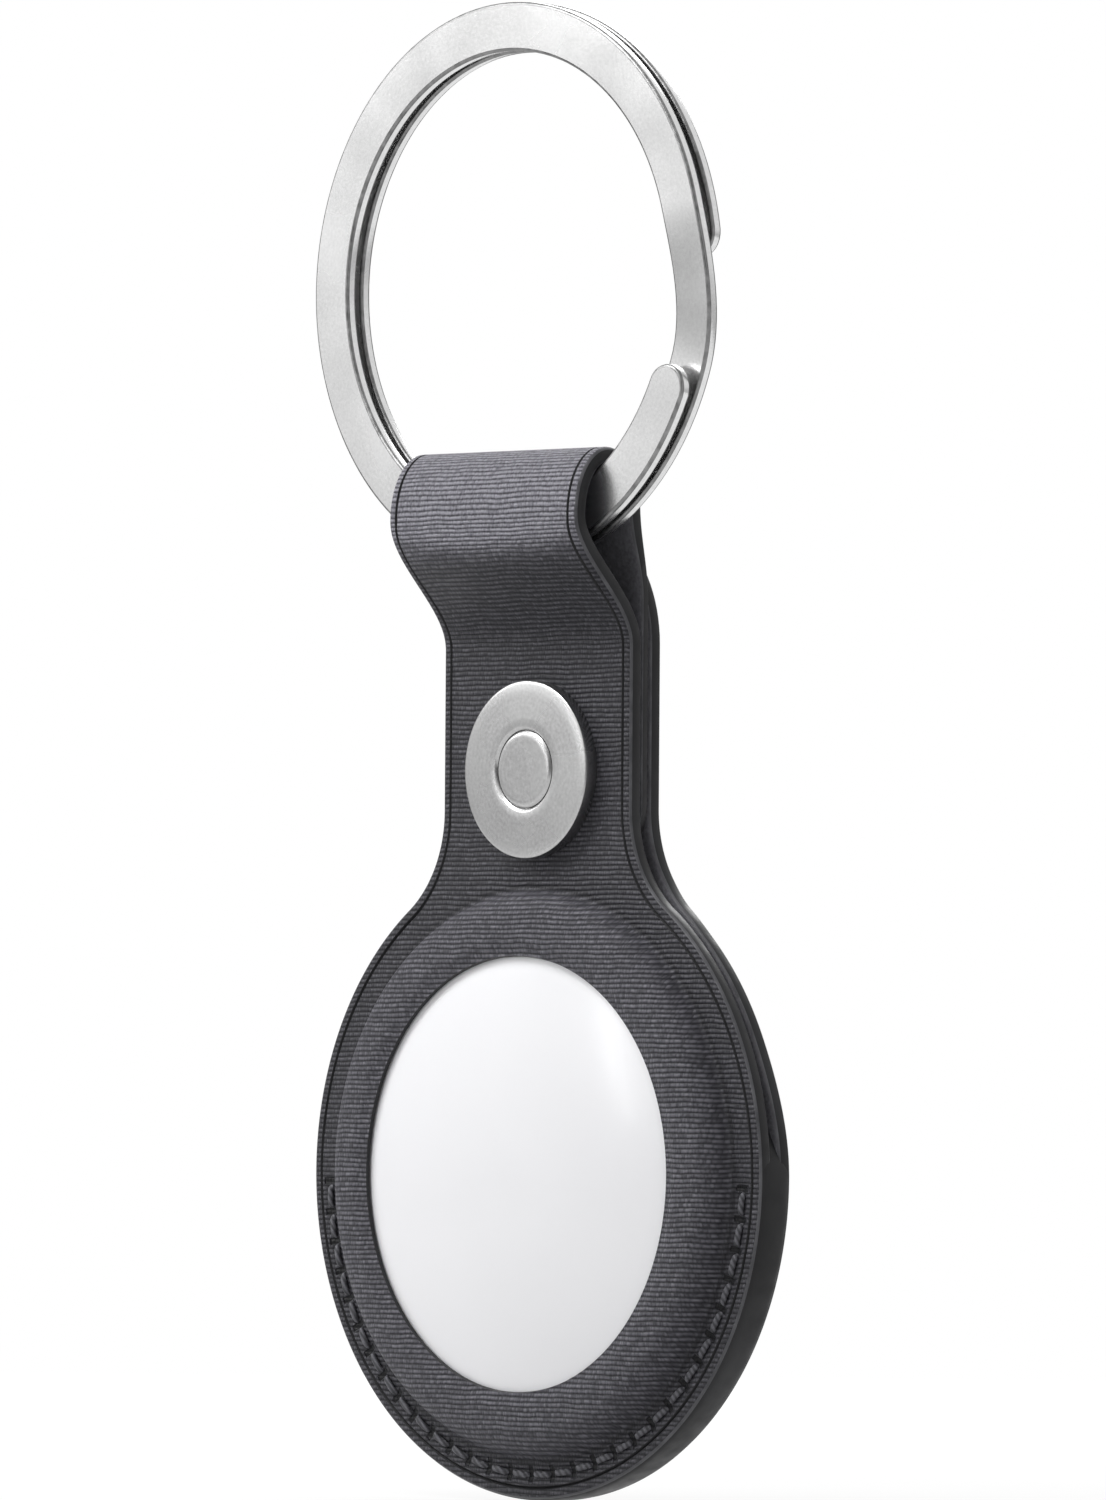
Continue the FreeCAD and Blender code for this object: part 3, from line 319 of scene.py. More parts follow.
def cut_blank(top, corner, bend_from, hole_heights):
    """A flat blank in the plane of the panel: outline, window, snap holes, crease and thickness.
    It is divided finely above the height where it is to bend."""
    bm = bmesh.new()
    rounding = bm.verts.layers.float.new("rounding")
    reach, side = DISC_RADIUS + NECK_FILLET, STRAP_HALF + NECK_FILLET
    rise = math.sqrt(reach ** 2 - side ** 2)
    touch = math.atan2(rise, side)
    tip = bm.verts.new((0, 0, DISC_HEIGHT - DISC_RADIUS))
    turned = {"geom_last": [tip]}
    turns = (
        ((0, 0, DISC_HEIGHT), touch + math.pi / 2, DISC_STEPS),
        ((side, 0, DISC_HEIGHT + rise), -touch, FILLET_STEPS),
    )
    for centre, angle, steps in turns:
        turned = bmesh.ops.spin(
            bm, geom=verts_of(turned, "geom_last"), cent=centre, axis=(0, -1, 0), angle=angle,
            steps=steps,
        )
    last = verts_of(turned, "geom_last")[0]
    up = bmesh.ops.extrude_vert_indiv(bm, verts=[last])["verts"]
    bmesh.ops.translate(bm, verts=up, vec=(0, 0, top - corner - last.co.z))
    centre = (STRAP_HALF - corner, 0, top - corner)
    turned = bmesh.ops.spin(
        bm, geom=up, cent=centre, axis=(0, -1, 0), angle=math.pi / 2, steps=CORNER_STEPS
    )
    if corner < STRAP_HALF:
        last = verts_of(turned, "geom_last")[0]
        across = bmesh.ops.extrude_vert_indiv(bm, verts=[last])["verts"]
        bmesh.ops.translate(bm, verts=across, vec=(-last.co.x, 0, 0))
    bmesh.ops.mirror(bm, geom=bm.verts[:] + bm.edges[:], axis="X", merge_dist=1e-4)
    bmesh.ops.remove_doubles(bm, verts=bm.verts, dist=1e-4)
    outline = bm.edges[:]

    spoke = [bm.verts.new((out, 0, DISC_HEIGHT)) for out in dome_rings()]
    links = [bm.edges.new(pair) for pair in zip(spoke, spoke[1:])]
    bmesh.ops.spin(
        bm, geom=spoke + links, cent=(0, 0, DISC_HEIGHT), axis=(0, -1, 0), angle=2 * math.pi,
        steps=DOME_STEPS, use_merge=True,
    )
    bmesh.ops.remove_doubles(bm, verts=bm.verts, dist=1e-4)
    centre = Vector((0, 0, DISC_HEIGHT))
    open_rims = [edge for edge in bm.edges if edge.is_boundary]
    window_rim = [edge for edge in open_rims if (edge.verts[0].co - centre).length < CROWN[2]]
    foot = [edge for edge in open_rims if edge not in window_rim]
    for height in hole_heights:
        upright = Matrix.Translation((0, 0, height)) @ Matrix.Rotation(math.pi / 2, 4, "X")
        bmesh.ops.create_circle(bm, segments=HOLE_STEPS, radius=SNAP_HOLE, matrix=upright)
    hole_rims = [edge for edge in bm.edges if edge.is_wire and edge not in outline]
    cut_out = bmesh.ops.edgeloop_fill(bm, edges=window_rim)["faces"]
    if hole_rims:
        cut_out += bmesh.ops.edgeloop_fill(bm, edges=hole_rims)["faces"]
    bmesh.ops.triangle_fill(
        bm, use_beauty=True, use_dissolve=False, edges=outline + foot + hole_rims
    )
    bmesh.ops.recalc_face_normals(bm, faces=bm.faces)
    if bm.faces[0].normal.y > 0:
        bmesh.ops.reverse_faces(bm, faces=bm.faces)
    inside = bm.faces[:]
    bmesh.ops.translate(bm, verts=bm.verts, vec=(0, EDGE_DROP, 0))

    def step_in(inset, lift):
        bmesh.ops.inset_region(
            bm, faces=inside, thickness=inset, depth=lift, use_boundary=True, use_even_offset=True
        )

    for inset, lift in EDGE_ROUND:
        step_in(inset, lift)
    for vert in bm.verts:
        vert[rounding] = vert.co.y
    for inset, lift in EDGE_CREASE:
        step_in(inset, lift)
    bmesh.ops.delete(bm, geom=cut_out, context="FACES_ONLY")
    flat_area = sum(face.calc_area() for face in bm.faces) * 1e-6

    def cut_across(place, direction):
        faces = [face for face in bm.faces if max(vert.co.z for vert in face.verts) > bend_from]
        parts = faces + [part for face in faces for part in (*face.edges, *face.verts)]
        once_each = list(dict.fromkeys(parts))
        bmesh.ops.bisect_plane(
            bm, geom=once_each, dist=1e-5, plane_co=place, plane_no=direction
        )

    rows = math.ceil((top - bend_from) / ROW_STEP)
    for row in range(rows):
        cut_across((0, 0, bend_from + row * (top - bend_from) / rows), (0, 0, 1))
    for column in range(-SIDE_COLUMNS, SIDE_COLUMNS + 1):
        cut_across((column * COLUMN_STEP, 0, 0), (1, 0, 0))
    bmesh.ops.dissolve_degenerate(bm, dist=1e-3, edges=bm.edges)

    under = verts_of(bmesh.ops.extrude_face_region(bm, geom=bm.faces[:]))
    for vert in under:
        vert.co.y = CLOTH_THICK - UNDER_ROUND * vert[rounding]
    for face in bm.faces:
        depths = [vert.co.y for vert in face.verts]
        # Painted highlight: the edge's rounded corners take the lighter finish.
        highlit = max(vert[rounding] for vert in face.verts) > HIGHLIGHT_FROM
        if min(depths) > CLOTH_THICK / 2:
            face.material_index = HIGHLIT if highlit else LINED
        elif max(depths) > CLOTH_THICK / 2:
            face.material_index = PAINT_AND_CREASE_SHADE
        elif highlit:
            face.material_index = HIGHLIT
        else:
            # Painted shade: the crease's deepest faces take the black edge paint.
            face.material_index = PAINT_AND_CREASE_SHADE if max(depths) > CREASE_SHADE_FROM else WOVEN
    flat_map(bm)
    return bm, flat_area


def pressed(x, depth, height):
    """Where a point of the blank lies on the round panel: its place, and its rise."""
    across = height - DISC_HEIGHT
    out = max(math.hypot(x, across), 1e-6)
    rise, slope = dome_at(out)
    seam = eased(1 - abs(out - SEAM_RADIUS) / SEAM_HALF) * eased(-across / SEAM_FADE)
    lip = eased((LIP_FROM - out) / (LIP_FROM - WINDOW_RADIUS))
    rise -= (SEAM_DEPTH * seam + LIP_DROP * lip) * (1 - depth / CLOTH_THICK)
    lined = min(max((out - LINING_FROM) / LINING_STEP, 0.0), 1.0)
    depth *= OUTER_THICK + (CLOTH_THICK - OUTER_THICK) * lined
    inner = out + depth * math.sin(slope)
    return x * inner / out, rise - depth * math.cos(slope), DISC_HEIGHT + across * inner / out


BEND_FOOT = -22.9
BEND_LEAD = 1.2
LOOP_CENTRE = -13.42
LOOP_RADIUS = 2.9
NECK_FACE = 2.0
SLOPE_RUN = 9.3
SLOPE_TOP, SLOPE_LAG = -16.6, 1.7
ARCH_FROM = -14.8
FRONT_RUN = 6.1
BACK_RUN = math.pi / 2 * LOOP_RADIUS
LOOP_RUN = SLOPE_RUN + FRONT_RUN + BACK_RUN
TAIL_FACE = 3.6
TAIL_FROM, TAIL_DROP = -14.0, 6.0
TAIL_THIN_FROM, TAIL_THIN_RUN = 1.0, 5.0
TAIL_CORNER = 4.0
TAIL_END = -36.94
SHORT_RUN = 0.02


def strap_route(x, run):
    """Depth and height of the strap's outer face, so far along it from the neck. In its middle
    the cloth is held forward by the ring, and at its edges it slopes more softly. It turns over
    in a tall curve in front and a round one behind."""
    if run < SLOPE_RUN:
        height = BEND_FOOT + (ARCH_FROM - BEND_FOOT) * run / SLOPE_RUN
        full = SLOPE_TOP + SLOPE_LAG * (x / STRAP_HALF) ** 2
        shift = NECK_FACE + LOOP_RADIUS
        return NECK_FACE - shift * eased((height - BEND_FOOT) / (full - BEND_FOOT)), height
    run -= SLOPE_RUN
    if run < FRONT_RUN:
        turn = math.pi / 2 * run / FRONT_RUN
        rise = LOOP_CENTRE + LOOP_RADIUS - ARCH_FROM
        return -LOOP_RADIUS * math.cos(turn), ARCH_FROM + rise * math.sin(turn)
    run -= FRONT_RUN
    if run < BACK_RUN:
        turn = run / LOOP_RADIUS
        return LOOP_RADIUS * math.sin(turn), LOOP_CENTRE + LOOP_RADIUS * math.cos(turn)
    height = LOOP_CENTRE - (run - BACK_RUN)
    back = eased((TAIL_FROM - height) / TAIL_DROP)
    return LOOP_RADIUS + (TAIL_FACE - LOOP_RADIUS) * back, height


strap_top = BEND_FOOT + LOOP_RUN + LOOP_CENTRE - TAIL_END
tail_hole = BEND_FOOT + LOOP_RUN + LOOP_CENTRE - SNAP_HEIGHT
bm, strap_area = cut_blank(
    strap_top, TAIL_CORNER, BEND_FOOT - BEND_LEAD, [SNAP_HEIGHT, tail_hole]
)
for vert in bm.verts:
    x, depth, height = vert.co
    run = height - BEND_FOOT
    if run <= 0:
        x, rise, height = pressed(x, depth, height)
        vert.co = (x, MIDDLE_DEPTH - rise, height)
        continue
    tail = eased((run - LOOP_RUN - TAIL_THIN_FROM) / TAIL_THIN_RUN)
    depth *= CLOTH_THICK - (CLOTH_THICK - OUTER_THICK) * tail
    before, after = strap_route(x, run - SHORT_RUN), strap_route(x, run + SHORT_RUN)
    ahead = Vector((after[0] - before[0], after[1] - before[1])).normalized()
    face = strap_route(x, run)
    vert.co = (x, face[0] + depth * ahead.y, face[1] - depth * ahead.x)

RIB_PITCH = 0.31
YARN_PITCH = 0.27
STITCH_COUNT = 30
SEAM_START, SEAM_TURN = 2.0, 176.0
STITCH_PITCH = SEAM_TURN / STITCH_COUNT
SEAM_OVERRUN = 0.2
# Painted light and shade on the cloth: the loop's front and the dome are painted lighter, and the
# seam, the dome's toe, the needle holes and the flat cloth are painted darker.
LOOP_DEPTHS = (0.0005, 0.002)
LOOP_HEIGHTS = (-0.0185, -0.0155)
DOME_LIGHT_FROM = 17.5
DOME_PAINTED_LIGHT = 0.12
SEAM_SHADE, TOE_SHADE, FLAT_SHADE = 0.55, 0.65, 0.36


def ranged(finish, value, old, new, course="SMOOTHSTEP"):
    """A value carried over from an old range to a new one, each given by its two limits."""
    limits = {
        "Value": value, "From Min": old[0], "From Max": old[1], "To Min": new[0], "To Max": new[1],
    }
    return node(finish, "MapRange", limits, interpolation_type=course).outputs["Result"]


def falls_off(finish, distance, near, far):
    """1 up to a near distance, falling to 0 at a far one."""
    return ranged(finish, distance, (near, far), (1.0, 0.0))


twill, shader = new_finish("twill_weave", {
    "Specular IOR Level": 0.2, "Sheen Weight": 0.06, "Sheen Roughness": 0.4,
    "Sheen Tint": (0.8, 0.8, 0.9, 1.0),
})
flat = node(twill, "UVMap", {}, uv_map="flat").outputs["UV"]
axes = node(twill, "SeparateXYZ", {"Vector": flat}).outputs
waver = noise(twill, flat, 0.3, 3.0)
rows = calc(twill, "ADD", calc(twill, "DIVIDE", axes["Y"], RIB_PITCH), waver)
row_number = calc(twill, "FLOOR", rows)
rib = calc(twill, "SINE", calc(twill, "MULTIPLY", calc(twill, "FRACT", rows), math.pi))
row_shift = calc(twill, "MULTIPLY", row_number, 3.7)
row_place = node(twill, "CombineXYZ", {"X": axes["X"], "Y": row_shift}).outputs[0]
drift = calc(twill, "MULTIPLY", noise(twill, row_place, 0.9, 1.0), 5.0)
columns = calc(twill, "ADD", calc(twill, "DIVIDE", axes["X"], YARN_PITCH), drift)
pick_number = calc(twill, "FLOOR", columns)
pick = node(twill, "CombineXYZ", {"X": pick_number, "Y": row_number}).outputs[0]
pick_tone = node(twill, "TexWhiteNoise", {"Vector": pick}, noise_dimensions="2D").outputs["Value"]
pick_level = calc(twill, "ADD", calc(twill, "MULTIPLY", pick_tone, 0.5), 0.5)
warp = calc(twill, "SINE", calc(twill, "MULTIPLY", calc(twill, "FRACT", columns), math.pi))
warp_level = calc(twill, "ADD", calc(twill, "MULTIPLY", warp, 0.3), 0.7)
yarn = calc(twill, "MULTIPLY", calc(twill, "MULTIPLY", rib, pick_level), warp_level)
streak_place = node(twill, "Mapping", {"Vector": flat, "Scale": (0.3, 1.8, 1.0)}).outputs["Vector"]
streaks = noise(twill, streak_place, 1.0, 4.0)
fuzz = noise(twill, flat, 5.0, 3.0)
hairs = weighed(twill, (streaks, 0.16), (fuzz, 0.32))
tone = calc(twill, "ADD", calc(twill, "MULTIPLY", yarn, 0.52), hairs)

from_centre = calc(twill, "SUBTRACT", axes["Y"], DISC_HEIGHT)
squares = [calc(twill, "POWER", side, 2.0) for side in (axes["X"], from_centre)]
out = calc(twill, "SQRT", calc(twill, "ADD", *squares))
place = node(twill, "SeparateXYZ", {"Vector": own_place(twill)}).outputs
below_loop = falls_off(twill, place["Z"], *LOOP_HEIGHTS)
# Painted light: the loop's front and the dome are painted lighter, with stronger weave contrast.
lit_loop = calc(
    twill, "MULTIPLY", falls_off(twill, place["Y"], *LOOP_DEPTHS),
    calc(twill, "SUBTRACT", 1.0, below_loop),
)
lit_dome = falls_off(twill, out, DOME_LIGHT_FROM, TOE[2])
painted_light = calc(twill, "MAXIMUM", lit_loop, calc(twill, "MULTIPLY", lit_dome, DOME_PAINTED_LIGHT))
# Painted shade: the flat cloth of the neck and flange, away from the loop and dome, is darker.
painted_flat_shade = calc(twill, "SUBTRACT", 1.0, calc(twill, "MAXIMUM", lit_loop, lit_dome))
painted_light_tone = calc(twill, "MULTIPLY", painted_light, weighed(twill, (fuzz, 0.45), (yarn, 0.27)))
cloth_colour = shades(twill, calc(twill, "ADD", tone, painted_light_tone), [
    (0.18, (0.01, 0.01, 0.0125)), (0.45, (0.049, 0.048, 0.056)), (0.75, (0.146, 0.143, 0.165)),
    (1.0, (0.26, 0.256, 0.288)),
])

below = calc(twill, "MULTIPLY", from_centre, -1.0)
around = calc(twill, "DEGREES", calc(twill, "ARCTAN2", below, axes["X"]))
pitches = calc(twill, "DIVIDE", calc(twill, "SUBTRACT", around, SEAM_START), STITCH_PITCH)
in_pitch = calc(twill, "FRACT", calc(twill, "ADD", pitches, 0.5))
off_hole = calc(twill, "ABSOLUTE", calc(twill, "SUBTRACT", in_pitch, 0.5))
off_line = calc(twill, "ABSOLUTE", calc(twill, "SUBTRACT", out, SEAM_RADIUS))
off_toe = calc(twill, "ABSOLUTE", calc(twill, "SUBTRACT", out, TOE[2]))
sewn = calc(
    twill, "MULTIPLY", calc(twill, "GREATER_THAN", pitches, -SEAM_OVERRUN),
    calc(twill, "LESS_THAN", pitches, STITCH_COUNT + SEAM_OVERRUN),
)
pricked = calc(
    twill, "MULTIPLY", falls_off(twill, off_line, 0.44, 0.6),
    falls_off(twill, off_hole, 0.085, 0.125),
)
# Painted shade: the needle holes are painted near black.
needle_hole = calc(twill, "MULTIPLY", sewn, pricked)
# Painted shade: the cloth is painted darker in the seam's groove along the stitches.
painted_seam_shade = calc(twill, "MULTIPLY", sewn, falls_off(twill, off_line, 0.25, 0.6))
# Painted shade: the cloth is painted darker along the dome's toe.
at_toe = falls_off(twill, off_toe, 0.05, 0.35)
# The painted shades darken the cloth's colour towards near black.
shaded = needle_hole
for shade, depth in ((painted_seam_shade, SEAM_SHADE), (at_toe, TOE_SHADE), (painted_flat_shade, FLAT_SHADE)):
    shaded = calc(twill, "MAXIMUM", shaded, calc(twill, "MULTIPLY", shade, depth))
cloth_painted_shade = node(
    twill, "Mix", {"Factor": shaded, "A": cloth_colour, "B": (0.004, 0.004, 0.005, 1.0)},
    data_type="RGBA",
)
height = calc(twill, "SUBTRACT", yarn, calc(twill, "MULTIPLY", needle_hole, 2.5))
feed(
    twill, shader,
    Base_Color=cloth_painted_shade.outputs[2],
    Roughness=shades(twill, tone, [(0.2, grey(0.62)), (0.7, grey(0.4))]),
    Normal=raised(twill, height, 0.0001),
)

# The black edge paint is also put in the crease's deepest faces as a painted shade.
edge_paint_and_crease_shade, shader = new_finish("edge_paint_and_crease_shade", {"Specular IOR Level": 0.25})
place = own_place(edge_paint_and_crease_shade)
coats = noise(edge_paint_and_crease_shade, place, 900.0, 3.0)
dabs = noise(edge_paint_and_crease_shade, place, 180.0, 2.0)
paint_and_crease_shades = [(0.3, (0.013, 0.013, 0.014)), (0.7, (0.027, 0.027, 0.029))]
feed(
    edge_paint_and_crease_shade, shader,
    Base_Color=shades(edge_paint_and_crease_shade, dabs, paint_and_crease_shades),
    Roughness=shades(edge_paint_and_crease_shade, coats, [(0.3, grey(0.38)), (0.7, grey(0.56))]),
    Normal=raised(edge_paint_and_crease_shade, coats, 0.00002, 0.5),
)

# Painted highlight on the rounded corners of the cloth's edges, lighter than the paint.
edge_highlight, shader = new_finish("edge_highlight", {"Specular IOR Level": 0.3})
highlight_grain = noise(edge_highlight, own_place(edge_highlight), 700.0, 4.0)
highlight_shades = [(0.3, (0.06, 0.06, 0.066)), (0.7, (0.13, 0.13, 0.14))]
feed(
    edge_highlight, shader,
    Base_Color=shades(edge_highlight, highlight_grain, highlight_shades),
    Roughness=shades(edge_highlight, highlight_grain, [(0.3, grey(0.42)), (0.7, grey(0.6))]),
    Normal=raised(edge_highlight, highlight_grain, 0.00002, 0.5),
)

lining_cloth, shader = new_finish(
    "lining_cloth", {"Specular IOR Level": 0.15, "Sheen Weight": 0.05}
)
place = own_place(lining_cloth)
nap = noise(lining_cloth, place, 4200.0, 3.0)
brushed = weighed(lining_cloth, (nap, 0.6), (noise(lining_cloth, place, 260.0, 3.0), 0.4))
lining_shades = [(0.3, (0.08, 0.08, 0.088)), (0.7, (0.18, 0.178, 0.196))]
feed(
    lining_cloth, shader,
    Base_Color=shades(lining_cloth, brushed, lining_shades),
    Roughness=shades(lining_cloth, nap, [(0.3, grey(0.8)), (0.7, grey(0.95))]),
    Normal=raised(lining_cloth, nap, 0.00004, 0.7),
)

cloth_finishes = [twill, edge_paint_and_crease_shade, lining_cloth, edge_highlight]
front_strap = finished_piece("front_strap", bm, cloth_finishes, 45.0)
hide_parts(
    "front_panel", "front_lining", "strap_bend_outer", "strap_bend_lining",
    "strap_loop_outer", "strap_loop_lining", "strap_tail",
)
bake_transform(front_strap)

# Back panel. The same cloth and lining, cut with a round window and an arched tongue. Its lower
# half is sewn to the front, and the rest is a flap that can open backwards; its rim is drawn in a
# little.
TONGUE_TOP = -14.2
TONGUE_CUTS_FROM = -24.0
RIM_DRAW = 0.45
DRAW_FROM, DRAW_WIDTH = 17.4, 1.0
DRAW_RISE = 9.0
DRAW_END, DRAW_FADE = -37.5, 4.0
bm, panel_area = cut_blank(TONGUE_TOP, STRAP_HALF, TONGUE_CUTS_FROM, [])
for vert in bm.verts:
    out = math.hypot(vert.co.x, vert.co.z - DISC_HEIGHT)
    draw = eased((out - DRAW_FROM) / DRAW_WIDTH) * eased((vert.co.z - DISC_HEIGHT) / DRAW_RISE)
    draw *= eased((DRAW_END - vert.co.z) / DRAW_FADE)
    x, rise, height = pressed(*vert.co)
    vert.co = (x, MIDDLE_DEPTH + rise - RIM_DRAW * draw, height)
back_panel = finished_piece("back_panel", bm, cloth_finishes, 45.0)
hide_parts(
    "back_panel_lower", "back_panel_flap", "back_lining_lower", "back_lining_flap"
)
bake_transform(back_panel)

# Rim. A welt of lining board keeps the two panels apart round the lower half, and several coats
# of edge paint close the three layers into one smooth dark edge.
RIM_SECTION = [
    (16.25, 3.0), (20.45, 3.0), (20.45, 2.24), (20.5, 2.24), (20.565, 2.32), (20.61, 2.5),
    (20.64, 2.75), (20.655, 3.05), (20.66, MIDDLE_DEPTH),
]
RIM_STEPS = 132
RIM_TAPER = math.radians(10.0)
END_THINNING = 0.8
END_DRAW = 0.8
back_half = [(out, 2 * MIDDLE_DEPTH - depth) for out, depth in RIM_SECTION[-2::-1]]
bm = bmesh.new()
corners = [bm.verts.new((-out, depth, DISC_HEIGHT)) for out, depth in RIM_SECTION + back_half]
links = [bm.edges.new(pair) for pair in zip(corners, corners[1:] + corners[:1])]
start = Matrix.Rotation(RIM_TAPER, 3, "Y")
bmesh.ops.rotate(bm, verts=corners, cent=(0, 0, DISC_HEIGHT), matrix=start)
bmesh.ops.spin(
    bm, geom=corners + links, cent=(0, 0, DISC_HEIGHT), axis=(0, -1, 0),
    angle=math.pi + 2 * RIM_TAPER, steps=RIM_STEPS,
)
bmesh.ops.holes_fill(bm, edges=[edge for edge in bm.edges if edge.is_boundary])
for vert in bm.verts:
    out = math.hypot(vert.co.x, vert.co.z - DISC_HEIGHT)
    end = eased(math.asin(min((vert.co.z - DISC_HEIGHT) / out, 1.0)) / RIM_TAPER)
    vert.co.y = MIDDLE_DEPTH + (vert.co.y - MIDDLE_DEPTH) * (1 - END_THINNING * end)
    draw = 1 - END_DRAW * end / out
    vert.co.x *= draw
    vert.co.z = DISC_HEIGHT + (vert.co.z - DISC_HEIGHT) * draw
rim_edge = hard_piece("rim_edge", bm, [edge_paint_and_crease_shade], 50.0)
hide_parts("rim_welt")
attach(rim_edge, "holder")

# Stitches. Waxed dark thread sewn through all the layers round the lower half, one stitch to
# each pair of needle holes, pulled down at its ends on the front and the back.
STITCH_LENGTH = 1.56
STITCH_TILT = math.radians(4.0)
STITCH_PROUD, STITCH_PULL = 0.04, 0.22
THREAD_HALF = 0.21
THREAD_FLAT = 0.8
BACK_FACE = 2 * MIDDLE_DEPTH - NECK_FACE
bm = bmesh.new()
for index in range(STITCH_COUNT):
    angle = math.radians(180.0 + SEAM_START + STITCH_PITCH * (index + 0.5))
    for depth, outward in ((NECK_FACE, -1.0), (BACK_FACE, 1.0)):
        made = bmesh.ops.create_uvsphere(bm, u_segments=12, v_segments=14, radius=1.0)["verts"]
        size = (THREAD_HALF, THREAD_HALF * THREAD_FLAT, STITCH_LENGTH / 2)
        bmesh.ops.scale(bm, verts=made, vec=size)
        for vert in made:
            reach = min(abs(vert.co.z) / (STITCH_LENGTH / 2), 0.999)
            full = math.sqrt((1 - reach ** 6) / (1 - reach ** 2))
            vert.co.x *= full
            vert.co.y = full * vert.co.y + outward * (STITCH_PROUD - STITCH_PULL * reach ** 4)
        tilt = Matrix.Rotation(STITCH_TILT, 3, "Y")
        bmesh.ops.rotate(bm, verts=made, cent=(0, 0, 0), matrix=tilt)
        turn = Matrix.Rotation(-angle, 3, "Y")
        bmesh.ops.rotate(bm, verts=made, cent=(0, 0, 0), matrix=turn)
        side, rise = SEAM_RADIUS * math.cos(angle), SEAM_RADIUS * math.sin(angle)
        bmesh.ops.translate(bm, verts=made, vec=(side, depth, DISC_HEIGHT + rise))
thread, shader = new_finish("waxed_thread", {"Specular IOR Level": 0.3, "Sheen Weight": 0.05})
place = own_place(thread)
ply = node(
    thread, "TexWave", {"Vector": place, "Scale": 1100.0, "Distortion": 1.5},
    bands_direction="DIAGONAL",
).outputs["Fac"]
wax = noise(thread, place, 1500.0, 2.0)
feed(
    thread, shader,
    Base_Color=shades(thread, ply, [(0.1, (0.05, 0.05, 0.056)), (0.8, (0.13, 0.129, 0.145))]),
    Roughness=shades(thread, wax, [(0.3, grey(0.5)), (0.7, grey(0.68))]),
    Normal=raised(thread, ply, 0.00006, 0.8),
)
stitch_row = finished_piece("stitch_row", bm, [thread], 60.0)
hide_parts("stitching")
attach(stitch_row, "holder")

# Snap. A turned steel cap with a plain plug pressed into its middle sits on the neck. Its socket
# and spring lie behind it, and the stud and back cap are riveted through the flap.
CAP_SECTION = (
    (3.35, 2.0), (5.6, 2.0), (5.62, 1.9), (5.62, 1.2), (5.6, 1.1), (5.54, 1.045), (5.44, 1.022),
    (4.7, 0.985), (4.0, 0.95), (3.3, 0.92), (2.72, 0.9), (2.66, 0.92), (2.51, 1.06), (2.51, 1.5),
    (3.35, 1.5),
)
PLUG_SECTION = (
    (0.0, 1.85), (2.28, 1.85), (2.28, 1.5), (2.45, 1.5), (2.45, 1.06), (2.32, 0.93), (2.26, 0.905),
    (2.0, 0.9), (0.0, 0.88),
)
LATHE_STEPS = 128


def turned_piece(name, section, closed, finishes):
    """A piece turned round the snap's axis from its half section."""
    bm = bmesh.new()
    corners = [bm.verts.new((out, depth, SNAP_HEIGHT)) for out, depth in section]
    ends = corners[1:] + corners[:1] if closed else corners[1:]
    links = [bm.edges.new(pair) for pair in zip(corners, ends)]
    bmesh.ops.spin(
        bm, geom=corners + links, cent=(0, 0, SNAP_HEIGHT), axis=(0, 1, 0), angle=2 * math.pi,
        steps=LATHE_STEPS, use_merge=True,
    )
    bmesh.ops.remove_doubles(bm, verts=bm.verts, dist=1e-4)
    return hard_piece(name, bm, finishes, 35.0)


def turned_metal(name, low, high, rough_low, rough_high, centre, ring_scale):
    """Steel turned on a lathe: fine rings round a centre and a little unevenness."""
    finish, shader = new_finish(name, {"Metallic": 1.0})
    place = own_place(finish)
    centred = node(finish, "Mapping", {"Vector": place, "Location": (0, 0, -centre)})
    rings = node(
        finish, "TexWave",
        {
            "Vector": centred.outputs["Vector"], "Scale": ring_scale, "Distortion": 0.6,
            "Detail": 2.0,
        },
        wave_type="RINGS", rings_direction="Y",
    ).outputs["Fac"]
    blast = noise(finish, place, 5000.0, 3.0)
    cloud = noise(finish, place, 220.0, 2.0)
    grain = weighed(finish, (rings, 0.07), (blast, 0.93))
    feed(
        finish, shader,
        Base_Color=shades(finish, grain, [(0.25, grey(low)), (0.75, grey(high))]),
        Roughness=shades(finish, cloud, [(0.3, grey(rough_low)), (0.7, grey(rough_high))]),
        Normal=raised(finish, grain, 0.000008, 0.5),
    )
    return finish


snap_steel = turned_metal("snap_steel", 0.42, 0.54, 0.24, 0.31, SNAP_HEIGHT / 1000, 900.0)
cap_face = turned_piece("cap_face", CAP_SECTION, True, [snap_steel])
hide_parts("snap_cap")
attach(cap_face, "holder")
cap_plug = turned_piece("cap_plug", PLUG_SECTION, False, [snap_steel])
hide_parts("snap_plug")
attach(cap_plug, "holder")


def dress(finish, *names):
    """Give a finish to solids of the model that keep their own shape."""
    for name in names:
        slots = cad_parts[name].data.materials
        slots.clear()
        slots.append(finish)


dress(snap_steel, "snap_socket", "snap_spring", "snap_stud", "snap_back_cap")

# Tag shell. Two-part white case, moulded in gloss plastic and polished: a shallow dome in front
# that shows in the window, and a lip behind that the battery cover locks under.
DOME_POLE = (0.0, -0.00065, DISC_HEIGHT / 1000)
DOME_CENTRE = (0.0, 0.06806, DISC_HEIGHT / 1000)


